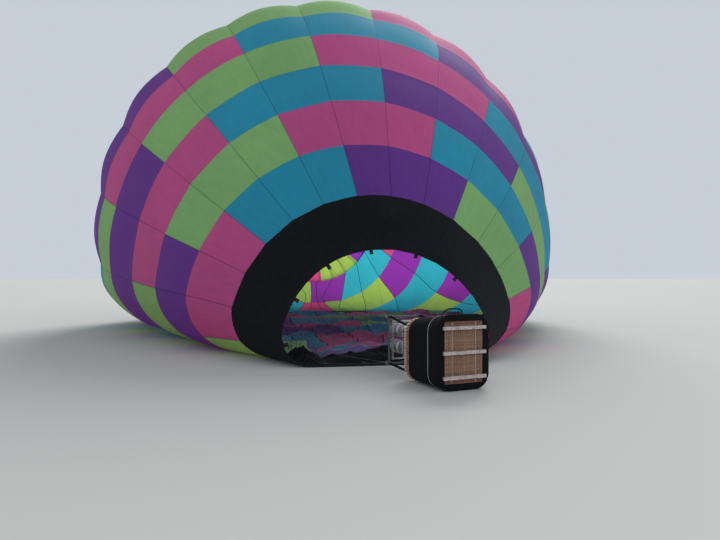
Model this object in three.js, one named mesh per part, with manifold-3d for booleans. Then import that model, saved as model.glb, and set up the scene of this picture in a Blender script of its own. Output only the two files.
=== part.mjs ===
// Hot air balloon lying on its side on the ground, part filled with cold air: envelope, basket and burner.
// Millimetres, +Z up, +Y from the mouth to the crown, +X to the right seen from the basket.
import * as THREE from "three";
import { mergeVertices } from "three/addons/utils/BufferGeometryUtils.js";
import Module from "manifold-3d";

const wasm = await Module();
wasm.setup();

// Driving dimensions of the envelope
const goreCount = 24;
const stepsPerGore = 4;
const fabricThickness = 12;
const seatGap = 0.3;
const crownLineSeam = 3.58;
const goreBulge = 0.055;
const mouthBulge = 0.006;
const lastFlatRow = 4;
const fullBulgeRow = 7;
const bulgeFadeHeight = 0.14;
const rowLength = 1560;
const bandRow = 1;
const middleRow = 8;
const lastRow = 13;

// One line for each horizontal seam, mouth to vent edge. The section there is an arch of a large
// arc over two small ones, standing on flat cloth, in a plane from the base point to the top point.
// topY, topZ, baseY, baseZ, radius of the large arc, small arc as a share of it, width of a gore
const seams = [
  [580, 2240, 0, 0, 2100, 0.29, 471],
  [1290, 3420, 1370, 0, 3120, 0.29, 740],
  [2170, 4700, 2590, 0, 4160, 0.29, 1042],
  [3120, 6010, 3960, 0, 5000, 0.29, 1345],
  [4170, 7260, 5410, 0, 5820, 0.29, 1631],
  [5280, 8510, 6980, 0, 6740, 0.29, 1919],
  [6470, 9600, 8660, 0, 7400, 0.29, 2157],
  [7750, 10540, 10350, 0, 7870, 0.29, 2353],
  [9320, 10810, 11900, 0, 7780, 0.3, 2400],
  [10890, 10430, 13400, 0, 7130, 0.32, 2260],
  [12310, 9620, 14910, 0, 6170, 0.4, 1970],
  [13560, 8580, 16360, 0, 5110, 0.54, 1570],
  [14720, 7440, 17530, 380, 3930, 0.75, 1160],
  [15820, 6230, 18220, 1560, 2660, 0.97, 695],
];

// Crown: vent, load tapes that cross it, and the ring that gathers them
const tapeWidth = 60;
const tapeThickness = 10;
const crownRise = 500;
const hubRadius = 260;
const tapeLap = 20;
const crownRingOuter = 200;
const crownRingInner = 160;
const crownRingThickness = 20;
const parachuteFlatRadius = 2420;
const parachuteEdgeHeight = 20;
const parachuteSkirtRadius = 2700;
const parachuteSkirtDrop = 190;
const parachuteClearance = 0.5;

// Basket, in its own upright frame: X across, Y deep, Z up from the underside of the skids
const basketWidth = 900;
const basketDepth = 1130;
const basketHeight = 1080;
const basketCorner = 240;
const rimNarrowing = 120;
const coverThickness = 12;
const wickerThickness = 25;
const rimRadius = 28;
const rimInset = 24;
const skidHeight = 40;
const skidWidth = 50;
const skidLength = 740;
const skidSpacing = 365;
const borderTop = 56;
const panelWidth = 670;
const panelDepth = 920;
const panelUnderside = 50;
const panelCorner = 12;
const floorTop = 90;
const laceHeight = 330;
const laceRadius = 6;
const laceInset = 3;
const laceSides = 6;
const floorCableX = 207;
const floorCableRadius = 4.7;
const floorCableInset = 10;
const basketYaw = THREE.MathUtils.degToRad(14.5);
const basketBaseX = 580;
const basketBaseY = -2500;

// Burner and its frame, in the basket's frame
const frameHeight = 1900;
const frameX = 300;
const frameY = 410;
const frameTube = 19;
const cornerBlock = 64;
const gimbalX = 232;
const gimbalY = 330;
const bearingLength = 40;
const bearingSize = 46;
const bearingLap = 4;
const gimbalBar = 28;
const pinRadius = 9;
const pinLap = 30;
const crossbarWidth = 46;
const crossbarHeight = 34;
const crossbarInset = 16;
const valveSize = [60, 70, 90];
const valveDrop = 120;
const valveStem = 17;
const stemRadius = 26;
const leverThickness = 8;
const leverLength = 150;
const leverWidth = 22;
const gripWidth = 120;
const gripDepth = 20;
const leverReach = 135;
const gripProud = 3;
const burnerSpacing = 150;
const coilRadius = 113;
const coilSides = 6;
const coilLift = 1;
const coilTube = 8;
const coilTurns = 5;
const coilPitch = 34;
const canRadius = 116;
const canWall = 5;
const canBottom = 1965;
const canHeight = 95;
const canFloor = 6;
const canShoulder = [16, 22];
const uprightRadius = 23;
const uprightInset = 159;

// Rigging
const wireRadius = 4;
const tabSize = [80, 105, 14];
const linkLength = 104;
const linkWidth = 52;
const linkRadius = 6;

// Colours of the pieces
const colours = {
  black: 0x17191d,
  violet: 0x5b3a86,
  cyan: 0x2c9ab8,
  green: 0x86b04a,
  pink: 0xc2467c,
  wicker: 0xa9774a,
  rim: 0xc39a6b,
  wood: 0xc2a48f,
  rope: 0xcfc6b4,
  steel: 0xb9bcc0,
  frame: 0x54585e,
  tank: 0xc4c6c9,
};

function finish(colour, roughness = 0.8, metalness = 0) {
  return new THREE.MeshStandardMaterial({ color: colour, roughness, metalness });
}

function named(name, geometry, material) {
  const mesh = new THREE.Mesh(geometry, material);
  mesh.name = name;
  return mesh;
}

// Booleans: a closed three.js geometry to a solid, and back
function solid(geometry) {
  const bare = geometry.clone();
  for (const attribute of Object.keys(bare.attributes)) {
    if (attribute !== "position") bare.deleteAttribute(attribute);
  }
  const merged = mergeVertices(bare, 1e-3);
  return new wasm.Manifold(
    new wasm.Mesh({
      numProp: 3,
      vertProperties: merged.attributes.position.array,
      triVerts: new Uint32Array(merged.index.array),
    }),
  );
}

function geometryOf(body) {
  const mesh = body.getMesh();
  const geometry = new THREE.BufferGeometry();
  geometry.setAttribute("position", new THREE.BufferAttribute(mesh.vertProperties, 3));
  geometry.setIndex(new THREE.BufferAttribute(mesh.triVerts, 1));
  geometry.computeVertexNormals();
  return geometry;
}

function fuse(geometries) {
  let body = solid(geometries[0]);
  for (const geometry of geometries.slice(1)) body = body.add(solid(geometry));
  return geometryOf(body);
}

// Plain shapes
function at(x, y, z) {
  return new THREE.Vector3(x, y, z);
}

function block(sizeX, sizeY, sizeZ, x, y, z) {
  return new THREE.BoxGeometry(sizeX, sizeY, sizeZ).translate(x, y, z);
}

function rod(from, to, radius, sides) {
  const along = to.clone().sub(from);
  const geometry = new THREE.CylinderGeometry(radius, radius, along.length(), sides);
  const turn = new THREE.Quaternion().setFromUnitVectors(new THREE.Vector3(0, 1, 0), along.normalize());
  return geometry.applyQuaternion(turn).translate(
    (from.x + to.x) / 2,
    (from.y + to.y) / 2,
    (from.z + to.z) / 2,
  );
}

function roundedRectangle(width, depth, radius) {
  const x = width / 2;
  const y = depth / 2;
  const shape = new THREE.Shape();
  shape.moveTo(x - radius, -y);
  shape.absarc(x - radius, radius - y, radius, -Math.PI / 2, 0, false);
  shape.absarc(x - radius, y - radius, radius, 0, Math.PI / 2, false);
  shape.absarc(radius - x, y - radius, radius, Math.PI / 2, Math.PI, false);
  shape.absarc(radius - x, radius - y, radius, Math.PI, Math.PI * 1.5, false);
  return shape;
}

function raise(shape, low, high, curveSegments = 3) {
  const geometry = new THREE.ExtrudeGeometry(shape, { depth: high - low, bevelEnabled: false, curveSegments });
  return geometry.translate(0, 0, low);
}

function roundedTube(inset, thickness, low, high) {
  const shape = roundedRectangle(basketWidth - 2 * inset, basketDepth - 2 * inset, basketCorner - inset);
  const inner = inset + thickness;
  shape.holes.push(
    roundedRectangle(basketWidth - 2 * inner, basketDepth - 2 * inner, basketCorner - inner),
  );
  return raise(shape, low, high);
}

// A closed tube around a flat loop of points at one height
function loopTube(points, height, radius, sides) {
  const positions = [];
  const index = [];
  const count = points.length;
  for (let i = 0; i < count; i++) {
    const before = points[(i + count - 1) % count];
    const after = points[(i + 1) % count];
    const tangent = after.clone().sub(before).normalize();
    for (let j = 0; j < sides; j++) {
      const angle = (2 * Math.PI * j) / sides;
      const out = radius * Math.cos(angle);
      positions.push(
        points[i].x + tangent.y * out,
        points[i].y - tangent.x * out,
        height + radius * Math.sin(angle),
      );
      const nextRing = ((i + 1) % count) * sides;
      const ring = i * sides;
      const k = (j + 1) % sides;
      index.push(ring + j, nextRing + j, nextRing + k, ring + j, nextRing + k, ring + k);
    }
  }
  const geometry = new THREE.BufferGeometry();
  geometry.setAttribute("position", new THREE.Float32BufferAttribute(positions, 3));
  geometry.setIndex(index);
  return geometry;
}

function distinctPoints(points) {
  return points.filter((point, i) => point.distanceTo(points[(i + 1) % points.length]) > 1e-3);
}

function basketLoop(inset, cornerSegments = 3) {
  const shape = roundedRectangle(basketWidth - 2 * inset, basketDepth - 2 * inset, basketCorner - inset);
  return distinctPoints(shape.getPoints(cornerSegments));
}

function sweep(points, radius, sides, steps) {
  const outline = new THREE.Shape(
    Array.from({ length: sides }, (_, i) => {
      const angle = (2 * Math.PI * i) / sides;
      return new THREE.Vector2(radius * Math.cos(angle), radius * Math.sin(angle));
    }),
  );
  const path = new THREE.CatmullRomCurve3(points);
  return new THREE.ExtrudeGeometry(outline, { steps, extrudePath: path, bevelEnabled: false });
}

// Envelope sections
function seamAt(latitude) {
  const low = Math.min(Math.floor(latitude), lastRow - 1);
  const share = latitude - low;
  const [topY, topZ, baseY, baseZ, radius, ratio, gore] = seams[low].map(
    (value, column) => value + (seams[low + 1][column] - value) * share,
  );
  const height = Math.hypot(topY - baseY, topZ - baseZ);
  const small = ratio * radius;
  const bend = Math.acos((radius + small - height) / (radius - small));
  const archHalf = radius * bend + small * (Math.PI - bend);
  const swelled = THREE.MathUtils.smoothstep(latitude, lastFlatRow, fullBulgeRow);
  return {
    topY, topZ, baseY, baseZ, radius, small, gore, height, bend, archHalf,
    flatHalf: (radius - small) * Math.sin(bend),
    bulge: gore * (mouthBulge + (goreBulge - mouthBulge) * swelled),
  };
}

// A point of the section: gores are counted from the seam of the crown line's side, clockwise seen
// from the mouth, and inset is the depth inside the cloth's outer face
function sectionPoint(seam, goreNumber, inset) {
  let turn = goreNumber - crownLineSeam;
  turn -= goreCount * Math.round(turn / goreCount);
  const side = Math.sign(turn) || 1;
  const arc = Math.abs(turn) * seam.gore;
  let x;
  let rise;
  if (arc < seam.archHalf) {
    const large = arc < seam.radius * seam.bend;
    const angle = large ? arc / seam.radius : seam.bend + (arc - seam.radius * seam.bend) / seam.small;
    const reach = large ? seam.radius : seam.small;
    const centreX = large ? 0 : seam.flatHalf;
    const centreRise = large ? seam.height - seam.radius : seam.small;
    const level = (centreRise + reach * Math.cos(angle)) / seam.height;
    const fade = Math.min(1, level / bulgeFadeHeight);
    const across = goreNumber - Math.floor(goreNumber);
    const bulge = seam.bulge * Math.sin(Math.PI * across) * fade;
    x = centreX + (reach + bulge - inset) * Math.sin(angle);
    rise = centreRise + (reach + bulge - inset) * Math.cos(angle);
  } else {
    const archGores = seam.archHalf / seam.gore;
    const share = (Math.abs(turn) - archGores) / (goreCount / 2 - archGores);
    x = seam.flatHalf * (1 - share);
    rise = inset;
  }
  const level = rise / seam.height;
  return new THREE.Vector3(
    side * x,
    seam.baseY + (seam.topY - seam.baseY) * level,
    seam.baseZ + (seam.topZ - seam.baseZ) * level,
  );
}

// Colour of the panel above one seam and after one gore: blocks of three gores, turned row by row
function panelColour(row, gore) {
  if (row < bandRow) return colours.black;
  const start = row % 2 ? (row - 1) / 2 : 4 + row / 2;
  const blockNumber = Math.floor((gore - start) / 3);
  const order = [colours.cyan, colours.violet, colours.green, colours.pink];
  return order[((blockNumber % 4) + 4) % 4];
}

// Cloth between two latitudes, as a closed shell with each panel in its colour
function clothShell(from, to) {
  const latitudes = [from];
  for (let row = Math.floor(from) + 1; row < to; row++) latitudes.push(row);
  latitudes.push(to);
  const around = goreCount * stepsPerGore;
  const rings = latitudes.map((latitude) => {
    const seam = seamAt(latitude);
    const ring = (inset) =>
      Array.from({ length: around }, (_, i) => sectionPoint(seam, i / stepsPerGore, inset));
    return { outer: ring(0), inner: ring(fabricThickness) };
  });
  const positions = [];
  const tints = [];
  const colour = new THREE.Color();
  const quad = (a, b, c, d) => {
    for (const p of [a, c, b, a, d, c]) {
      positions.push(p.x, p.y, p.z);
      tints.push(colour.r, colour.g, colour.b);
    }
  };
  for (let i = 0; i < around; i++) {
    const j = (i + 1) % around;
    for (let n = 0; n < rings.length - 1; n++) {
      const here = rings[n];
      const next = rings[n + 1];
      colour.set(panelColour(Math.floor((latitudes[n] + latitudes[n + 1]) / 2), Math.floor(i / stepsPerGore)));
      quad(here.outer[i], next.outer[i], next.outer[j], here.outer[j]);
      quad(here.inner[i], here.inner[j], next.inner[j], next.inner[i]);
    }
    const first = rings[0];
    const last = rings[rings.length - 1];
    quad(first.outer[i], first.outer[j], first.inner[j], first.inner[i]);
    quad(last.outer[i], last.inner[i], last.inner[j], last.outer[j]);
  }
  const geometry = new THREE.BufferGeometry();
  geometry.setAttribute("position", new THREE.Float32BufferAttribute(positions, 3));
  geometry.setAttribute("color", new THREE.Float32BufferAttribute(tints, 3));
  geometry.computeVertexNormals();
  return geometry;
}

const seamGap = seatGap / rowLength;
const cloth = new THREE.MeshStandardMaterial({ vertexColors: true, roughness: 0.6, side: THREE.DoubleSide });
const envelope = new THREE.Group();
envelope.add(named("mouth_band", clothShell(0, bandRow - seamGap), cloth));
envelope.add(named("envelope_lower", clothShell(bandRow, middleRow - seamGap), cloth));
envelope.add(named("envelope_upper", clothShell(middleRow, lastRow), cloth));

// The crown's plane: its centre, and the direction that points out of the vent
const ventSeam = seamAt(lastRow);
const ventCentre = new THREE.Vector3(
  0,
  (ventSeam.topY + ventSeam.baseY) / 2,
  (ventSeam.topZ + ventSeam.baseZ) / 2,
);
const crownTilt = Math.atan2(ventSeam.topZ - ventSeam.baseZ, ventSeam.baseY - ventSeam.topY);
const crownOut = new THREE.Vector3(0, Math.sin(crownTilt), Math.cos(crownTilt));

// A flat strip from one point to another, with its width square to the given direction
function strip(from, to, out, width, thickness) {
  const along = to.clone().sub(from);
  const length = along.length();
  along.normalize();
  const across = new THREE.Vector3().crossVectors(along, out).normalize();
  const up = new THREE.Vector3().crossVectors(along, across);
  const turn = new THREE.Matrix4().makeBasis(along, across, up);
  turn.setPosition(from.clone().add(to).multiplyScalar(0.5));
  return new THREE.BoxGeometry(length, width, thickness).applyMatrix4(turn);
}

// Tapes from the vent's edge to the hub, all sewn into one piece
function crownTapes() {
  const hubCentre = ventCentre.clone().addScaledVector(crownOut, crownRise);
  const hub = new THREE.CylinderGeometry(hubRadius, hubRadius, tapeThickness, goreCount);
  hub.applyQuaternion(new THREE.Quaternion().setFromUnitVectors(new THREE.Vector3(0, 1, 0), crownOut));
  hub.translate(hubCentre.x, hubCentre.y, hubCentre.z);
  const pieces = [hub];
  for (let gore = 0; gore < goreCount; gore++) {
    const edge = sectionPoint(ventSeam, gore, 0);
    edge.addScaledVector(crownOut, tapeThickness / 2 + seatGap);
    const radial = edge.clone().sub(hubCentre).projectOnPlane(crownOut).normalize();
    const end = hubCentre.clone().addScaledVector(radial, hubRadius - tapeLap);
    pieces.push(strip(edge, end, crownOut, tapeWidth, tapeThickness));
  }
  return fuse(pieces);
}
envelope.add(named("crown_tapes", crownTapes(), finish(colours.black)));

const crown = new THREE.Group();
crown.position.copy(ventCentre);
crown.rotation.x = -crownTilt;
envelope.add(crown);

// The parachute panel closes the vent from inside and presses against the tapes. Its sectors carry
// the pattern one row further. In the crown's plane, Y points down towards the ground.
function parachuteGeometry() {
  const top = crownRise - tapeThickness / 2 - parachuteClearance;
  const outline = [
    [0, top],
    [hubRadius - tapeLap, top],
    [parachuteFlatRadius, parachuteEdgeHeight],
    [parachuteSkirtRadius, -parachuteSkirtDrop],
    [parachuteSkirtRadius - fabricThickness, -parachuteSkirtDrop],
    [parachuteFlatRadius, parachuteEdgeHeight - fabricThickness],
    [hubRadius - tapeLap, top - fabricThickness],
    [0, top - fabricThickness],
  ].reverse();
  const profile = outline.map(([radius, height]) => new THREE.Vector2(radius, height));
  const geometry = new THREE.LatheGeometry(profile, 2 * goreCount).rotateX(Math.PI / 2).toNonIndexed();
  const corners = geometry.attributes.position;
  const tints = [];
  const colour = new THREE.Color();
  for (let i = 0; i < corners.count; i += 3) {
    const x = corners.getX(i) + corners.getX(i + 1) + corners.getX(i + 2);
    const y = corners.getY(i) + corners.getY(i + 1) + corners.getY(i + 2);
    const turn = (Math.atan2(x, -y) / (2 * Math.PI)) * goreCount + crownLineSeam;
    colour.set(panelColour(lastRow, Math.floor((turn + goreCount) % goreCount)));
    for (let corner = 0; corner < 3; corner++) tints.push(colour.r, colour.g, colour.b);
  }
  geometry.setAttribute("color", new THREE.Float32BufferAttribute(tints, 3));
  return geometry;
}
crown.add(named("parachute_vent", parachuteGeometry(), cloth));

function ringPlate(outer, inner, thickness, segments) {
  const profile = [
    [inner, 0],
    [outer, 0],
    [outer, thickness],
    [inner, thickness],
    [inner, 0],
  ].map(([radius, height]) => new THREE.Vector2(radius, height));
  return new THREE.LatheGeometry(profile, segments).rotateX(Math.PI / 2);
}
const crownRing = named(
  "crown_ring",
  ringPlate(crownRingOuter, crownRingInner, crownRingThickness, 24),
  finish(colours.steel, 0.35, 0.9),
);
crownRing.position.z = crownRise + tapeThickness / 2 + seatGap;
crown.add(crownRing);

// Slack cloth in folds on the floor of the mouth, one low mound with ridges across
const slackWidth = 2500;
const slackFrom = 260;
const slackLength = 2300;
const slackEdge = 40;
const slackRidge = 300;
const slackRidges = 4;

function slackHeight(u, v) {
  const shape = Math.sin(Math.PI * u) ** 0.7 * Math.sin(Math.PI * v) ** 0.5;
  const wave = 0.5 - 0.5 * Math.cos(2 * Math.PI * (slackRidges * v + 0.35 * Math.sin(Math.PI * u)));
  return slackEdge + slackRidge * shape * (0.45 + 0.55 * wave);
}

function slackMound() {
  const columns = 12;
  const rows = 16;
  const floorLevel = fabricThickness + seatGap;
  const point = (i, j, top) => {
    const u = i / columns;
    const v = j / rows;
    const level = floorLevel + (top ? slackHeight(u, v) : 0);
    return at((u - 0.5) * slackWidth, slackFrom + v * slackLength, level);
  };
  const positions = [];
  const quad = (a, b, c, d) => {
    for (const p of [a, b, c, a, c, d]) positions.push(p.x, p.y, p.z);
  };
  for (let i = 0; i < columns; i++) {
    for (let j = 0; j < rows; j++) {
      quad(point(i, j, true), point(i + 1, j, true), point(i + 1, j + 1, true), point(i, j + 1, true));
      quad(point(i, j, false), point(i, j + 1, false), point(i + 1, j + 1, false), point(i + 1, j, false));
    }
    quad(point(i, 0, false), point(i + 1, 0, false), point(i + 1, 0, true), point(i, 0, true));
    quad(point(i + 1, rows, false), point(i, rows, false), point(i, rows, true), point(i + 1, rows, true));
  }
  for (let j = 0; j < rows; j++) {
    quad(point(0, j + 1, false), point(0, j, false), point(0, j, true), point(0, j + 1, true));
    quad(point(columns, j, false), point(columns, j + 1, false),
      point(columns, j + 1, true), point(columns, j, true));
  }
  const geometry = new THREE.BufferGeometry();
  geometry.setAttribute("position", new THREE.Float32BufferAttribute(positions, 3));
  geometry.computeVertexNormals();
  return geometry;
}
envelope.add(named("slack_cloth", slackMound(), finish(colours.pink, 0.7)));

// Basket, upright in its own group, then laid on its side and turned
const basket = new THREE.Group();
basket.rotation.x = -Math.PI / 2;
const basketPlace = new THREE.Group();
basketPlace.rotation.z = basketYaw;
basketPlace.position.set(basketBaseX, basketBaseY, basketDepth / 2 + rimRadius - rimInset);
basketPlace.add(basket);

const leather = finish(colours.black, 0.75);
const wicker = finish(colours.wicker, 0.85);
const wood = finish(colours.wood, 0.7);
const rope = finish(colours.rope, 0.9);

for (let i = 0; i < 3; i++) {
  const y = (i - 1) * skidSpacing;
  basket.add(named("skid_" + (i + 1), block(skidLength, skidWidth, skidHeight, 0, y, skidHeight / 2), wood));
}

const rimHeight = basketHeight - rimRadius;
const wallTop = rimHeight - rimRadius - seatGap;
const wallBottom = borderTop + seatGap;
const cornerX = basketWidth / 2 - basketCorner;
const cornerY = basketDepth / 2 - basketCorner;

// The wall that lies uppermost slopes in towards the rim. Its corners keep their roundness, and the
// two side walls stay flat.
function slopeAt(y, z) {
  const share = THREE.MathUtils.clamp((cornerY - y) / (2 * cornerY), 0, 1);
  const rise = THREE.MathUtils.clamp((z - wallBottom) / (rimHeight - wallBottom), 0, 1);
  return rimNarrowing * share * rise;
}

function sloped(geometry) {
  const corners = geometry.attributes.position;
  for (let i = 0; i < corners.count; i++) {
    corners.setY(i, corners.getY(i) + slopeAt(corners.getY(i), corners.getZ(i)));
  }
  geometry.computeVertexNormals();
  return geometry;
}

const border = roundedRectangle(basketWidth, basketDepth, basketCorner);
border.holes.push(roundedRectangle(panelWidth, panelDepth, panelCorner));
basket.add(named("bottom_border", raise(border, skidHeight + seatGap, borderTop), leather));

const floorInset = coverThickness + wickerThickness + seatGap;
const panelLap = 2;
const floorPlate = raise(
  roundedRectangle(basketWidth - 2 * floorInset, basketDepth - 2 * floorInset, basketCorner - floorInset),
  borderTop + seatGap,
  floorTop,
);
const floorPanel = raise(
  roundedRectangle(panelWidth - 2 * seatGap, panelDepth - 2 * seatGap, panelCorner + seatGap),
  panelUnderside,
  borderTop + panelLap,
);
basket.add(named("basket_floor", sloped(fuse([floorPlate, floorPanel])), wicker));

for (const [name, side] of [["floor_cable_left", -1], ["floor_cable_right", 1]]) {
  const level = panelUnderside - floorCableRadius - seatGap;
  const end = panelDepth / 2 - floorCableInset;
  const cable = rod(at(side * floorCableX, -end, level), at(side * floorCableX, end, level), floorCableRadius, 8);
  basket.add(named(name, cable, rope));
}

const coverDepth = coverThickness - seatGap;
const laceGap = laceRadius * Math.sin(Math.PI / 3) + seatGap;
const wall = roundedTube(coverThickness, wickerThickness, wallBottom, wallTop);
const coverLower = roundedTube(0, coverDepth, wallBottom, laceHeight - laceGap);
const coverUpper = roundedTube(0, coverDepth, laceHeight + laceGap, wallTop);
const lacing = loopTube(basketLoop(laceInset), laceHeight, laceRadius, laceSides);
const rim = loopTube(basketLoop(rimInset), rimHeight, rimRadius, 12);
basket.add(named("basket_wall", sloped(wall), wicker));
basket.add(named("cover_lower", sloped(coverLower), leather));
basket.add(named("cover_upper", sloped(coverUpper), leather));
basket.add(named("lacing_rope", sloped(lacing), rope));
basket.add(named("basket_rim", sloped(rim), finish(colours.rim)));

// Padded carrying handle on the wall that lies uppermost
const handleFrom = -340;
const handleTo = 20;
const handleHeight = 110;
const handleRise = 78;
const handleRadius = 11;

function wallDepthAt(x) {
  const over = Math.max(0, Math.abs(x) - cornerX);
  return cornerY + Math.sqrt(basketCorner ** 2 - over ** 2);
}
const handleMiddle = (handleFrom + handleTo) / 2;
const handlePoints = [
  [handleFrom, 0.02],
  [handleFrom + 20, 0.62],
  [handleFrom + 90, 1],
  [handleMiddle, 1.08],
  [handleTo - 70, 1],
  [handleTo - 14, 0.6],
  [handleTo, 0.02],
].map(([x, share]) => at(x, -(wallDepthAt(x) + handleRadius * 0.2 + share * handleRise), handleHeight));
const handleBody = solid(sweep(handlePoints, handleRadius, 8, 24));
const clearOfWall = roundedRectangle(
  basketWidth + 2 * seatGap,
  basketDepth + 2 * seatGap,
  basketCorner + seatGap,
);
const wallBody = solid(raise(clearOfWall, 0, wallTop));
basket.add(named("carry_handle", sloped(geometryOf(handleBody.subtract(wallBody))), leather));

// Fuel tanks in the two corners that lie lowest
const tankRadius = 150;
const tankDome = 60;
const tankTop = 830;
const tankX = 246;
const tankY = 361;
const collarRadius = 85;
const collarHeight = 70;
const tankProfile = [
  [0, floorTop + seatGap],
  [tankRadius - 40, floorTop + seatGap],
  [tankRadius, floorTop + 40],
  [tankRadius, tankTop - tankDome],
  [tankRadius - 45, tankTop - 14],
  [collarRadius, tankTop],
  [collarRadius, tankTop + collarHeight],
  [collarRadius - 6, tankTop + collarHeight],
  [collarRadius - 6, tankTop + 4],
  [24, tankTop + 8],
  [20, tankTop + 46],
  [0, tankTop + 46],
].map(([radius, height]) => new THREE.Vector2(radius, height));
for (const [name, side] of [["fuel_tank_left", -1], ["fuel_tank_right", 1]]) {
  const body = new THREE.LatheGeometry(tankProfile, 24).rotateX(Math.PI / 2);
  const tank = named(name, body, finish(colours.tank, 0.4, 0.8));
  tank.position.set(side * tankX, tankY, 0);
  basket.add(tank);
}

// Uprights: padded poles from the basket's corners to the burner frame
const footX = cornerX + uprightInset * Math.SQRT1_2;
const footY = cornerY + uprightInset * Math.SQRT1_2;
const uprightFoot = 880;
const uprightBend = 1160;
const cornerNames = [
  ["top_left", -1, -1],
  ["top_right", 1, -1],
  ["low_right", 1, 1],
  ["low_left", -1, 1],
];
for (const [name, sideX, sideY] of cornerNames) {
  const head = frameHeight - cornerBlock / 2 - seatGap;
  const foot = [uprightFoot, (uprightFoot + uprightBend) / 2, uprightBend].map((z) => [
    footX,
    footY + sideY * slopeAt(sideY * footY, z),
    z,
  ]);
  const points = [
    ...foot,
    [(footX + frameX) / 2, (foot[2][1] + frameY) / 2, (uprightBend + head) / 2],
    [frameX, frameY, head - 90],
    [frameX, frameY, head],
  ].map(([x, y, z]) => new THREE.Vector3(sideX * x, sideY * y, z));
  basket.add(named("upright_" + name, sweep(points, uprightRadius, 10, 16), leather));
}

// Burner frame: four rails, a block at each corner and a bearing on each side rail
const frameParts = [];
for (const side of [-1, 1]) {
  const x = side * frameX;
  const y = side * frameY;
  frameParts.push(rod(at(x, -frameY, frameHeight), at(x, frameY, frameHeight), frameTube, 10));
  frameParts.push(rod(at(-frameX, y, frameHeight), at(frameX, y, frameHeight), frameTube, 10));
  frameParts.push(block(bearingLength, bearingSize, bearingSize, side * (frameX - bearingLap), 0, frameHeight));
}
for (const [, sideX, sideY] of cornerNames) {
  frameParts.push(block(cornerBlock, cornerBlock, cornerBlock, sideX * frameX, sideY * frameY, frameHeight));
}
basket.add(named("burner_frame", fuse(frameParts), finish(colours.frame, 0.45, 0.8)));

// Gimbal: an inner frame that tips about X in the burner frame, and carries the burners on Y pins
const gimbalPinEnd = frameX - bearingLap - bearingLength / 2 - seatGap;
const gimbalParts = [];
for (const side of [-1, 1]) {
  gimbalParts.push(block(gimbalBar, 2 * gimbalY + gimbalBar, gimbalBar, side * gimbalX, 0, frameHeight));
  gimbalParts.push(block(2 * gimbalX + gimbalBar, gimbalBar, gimbalBar, 0, side * gimbalY, frameHeight));
  const pinFrom = at(side * gimbalX, 0, frameHeight);
  gimbalParts.push(rod(pinFrom, at(side * gimbalPinEnd, 0, frameHeight), pinRadius, 10));
}
const gimbal = new THREE.Group();
gimbal.add(named("gimbal_ring", fuse(gimbalParts), finish(colours.steel, 0.4, 0.85)));
basket.add(gimbal);

// Burner block: the crossbar, its pins, a valve body under each burner and a hand lever on it
const barHalf = gimbalY - gimbalBar / 2 - seatGap;
const burnerParts = [block(crossbarWidth, 2 * (barHalf - crossbarInset), crossbarHeight, 0, 0, frameHeight)];
for (const side of [-1, 1]) {
  const y = side * burnerSpacing;
  const pinFrom = at(0, side * (barHalf - pinLap), frameHeight);
  burnerParts.push(rod(pinFrom, at(0, side * barHalf, frameHeight), pinRadius, 10));
  burnerParts.push(rod(at(0, y, frameHeight), at(0, y, canBottom - seatGap), stemRadius, 10));
  burnerParts.push(block(...valveSize, 0, y, frameHeight - valveDrop / 2));
  burnerParts.push(rod(at(0, y, frameHeight - valveDrop / 2), at(0, y, frameHeight - valveDrop), valveStem, 10));
}
gimbal.add(named("burner_block", fuse(burnerParts), finish(colours.steel, 0.4, 0.85)));

for (const [index, side] of [[1, -1], [2, 1]]) {
  const y = side * burnerSpacing;
  const z = frameHeight - valveDrop - leverThickness / 2 - seatGap;
  const lever = fuse([
    block(leverLength, leverWidth, leverThickness, leverReach - leverLength / 2, y, z),
    block(gripDepth, gripWidth, leverThickness, leverReach - gripDepth / 2 + gripProud, y, z),
  ]);
  gimbal.add(named("valve_lever_" + index, lever, finish(0x9c2b24, 0.6)));
}

function canGeometry() {
  const top = canBottom + canHeight;
  const profile = [
    [0, canBottom],
    [canRadius - canShoulder[0], canBottom],
    [canRadius, canBottom + canShoulder[1]],
    [canRadius, top],
    [canRadius - canWall, top],
    [canRadius - canWall, canBottom + canShoulder[1] + canWall / 2],
    [canRadius - canShoulder[0] - canWall / 2, canBottom + canFloor],
    [0, canBottom + canFloor],
  ].map(([radius, height]) => new THREE.Vector2(radius, height));
  return new THREE.LatheGeometry(profile, 24).rotateX(Math.PI / 2);
}

function coilGeometry() {
  const start = canBottom + canHeight + coilTube * Math.cos(Math.PI / coilSides) + coilLift;
  const stepsPerTurn = 14;
  const count = coilTurns * stepsPerTurn;
  const points = Array.from({ length: count + 1 }, (_, i) => {
    const angle = (2 * Math.PI * i) / stepsPerTurn;
    return at(coilRadius * Math.cos(angle), coilRadius * Math.sin(angle), start + (coilPitch * i) / stepsPerTurn);
  });
  return sweep(points, coilTube, coilSides, count);
}

for (const [index, side] of [[1, -1], [2, 1]]) {
  const can = named("burner_can_" + index, canGeometry(), finish(colours.steel, 0.3, 0.9));
  can.position.y = side * burnerSpacing;
  const coil = named("burner_coil_" + index, coilGeometry(), finish(colours.steel, 0.25, 0.95));
  coil.position.y = side * burnerSpacing;
  gimbal.add(can, coil);
}

// Rigging: a steel link on each corner of the frame, and three wires from it to the mouth's edge
const object = new THREE.Group();
object.add(envelope, basketPlace);
object.updateMatrixWorld(true);

function linkGeometry() {
  const half = (linkLength - linkWidth) / 2;
  const bend = (linkWidth - 2 * linkRadius) / 2;
  const shape = new THREE.Shape();
  shape.absarc(half, 0, bend, -Math.PI / 2, Math.PI / 2, false);
  shape.absarc(-half, 0, bend, Math.PI / 2, Math.PI * 1.5, false);
  return loopTube(distinctPoints(shape.getPoints(3)), 0, linkRadius, 6).rotateY(Math.PI / 2);
}
const linkBase = frameHeight + cornerBlock / 2 + seatGap;

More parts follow.
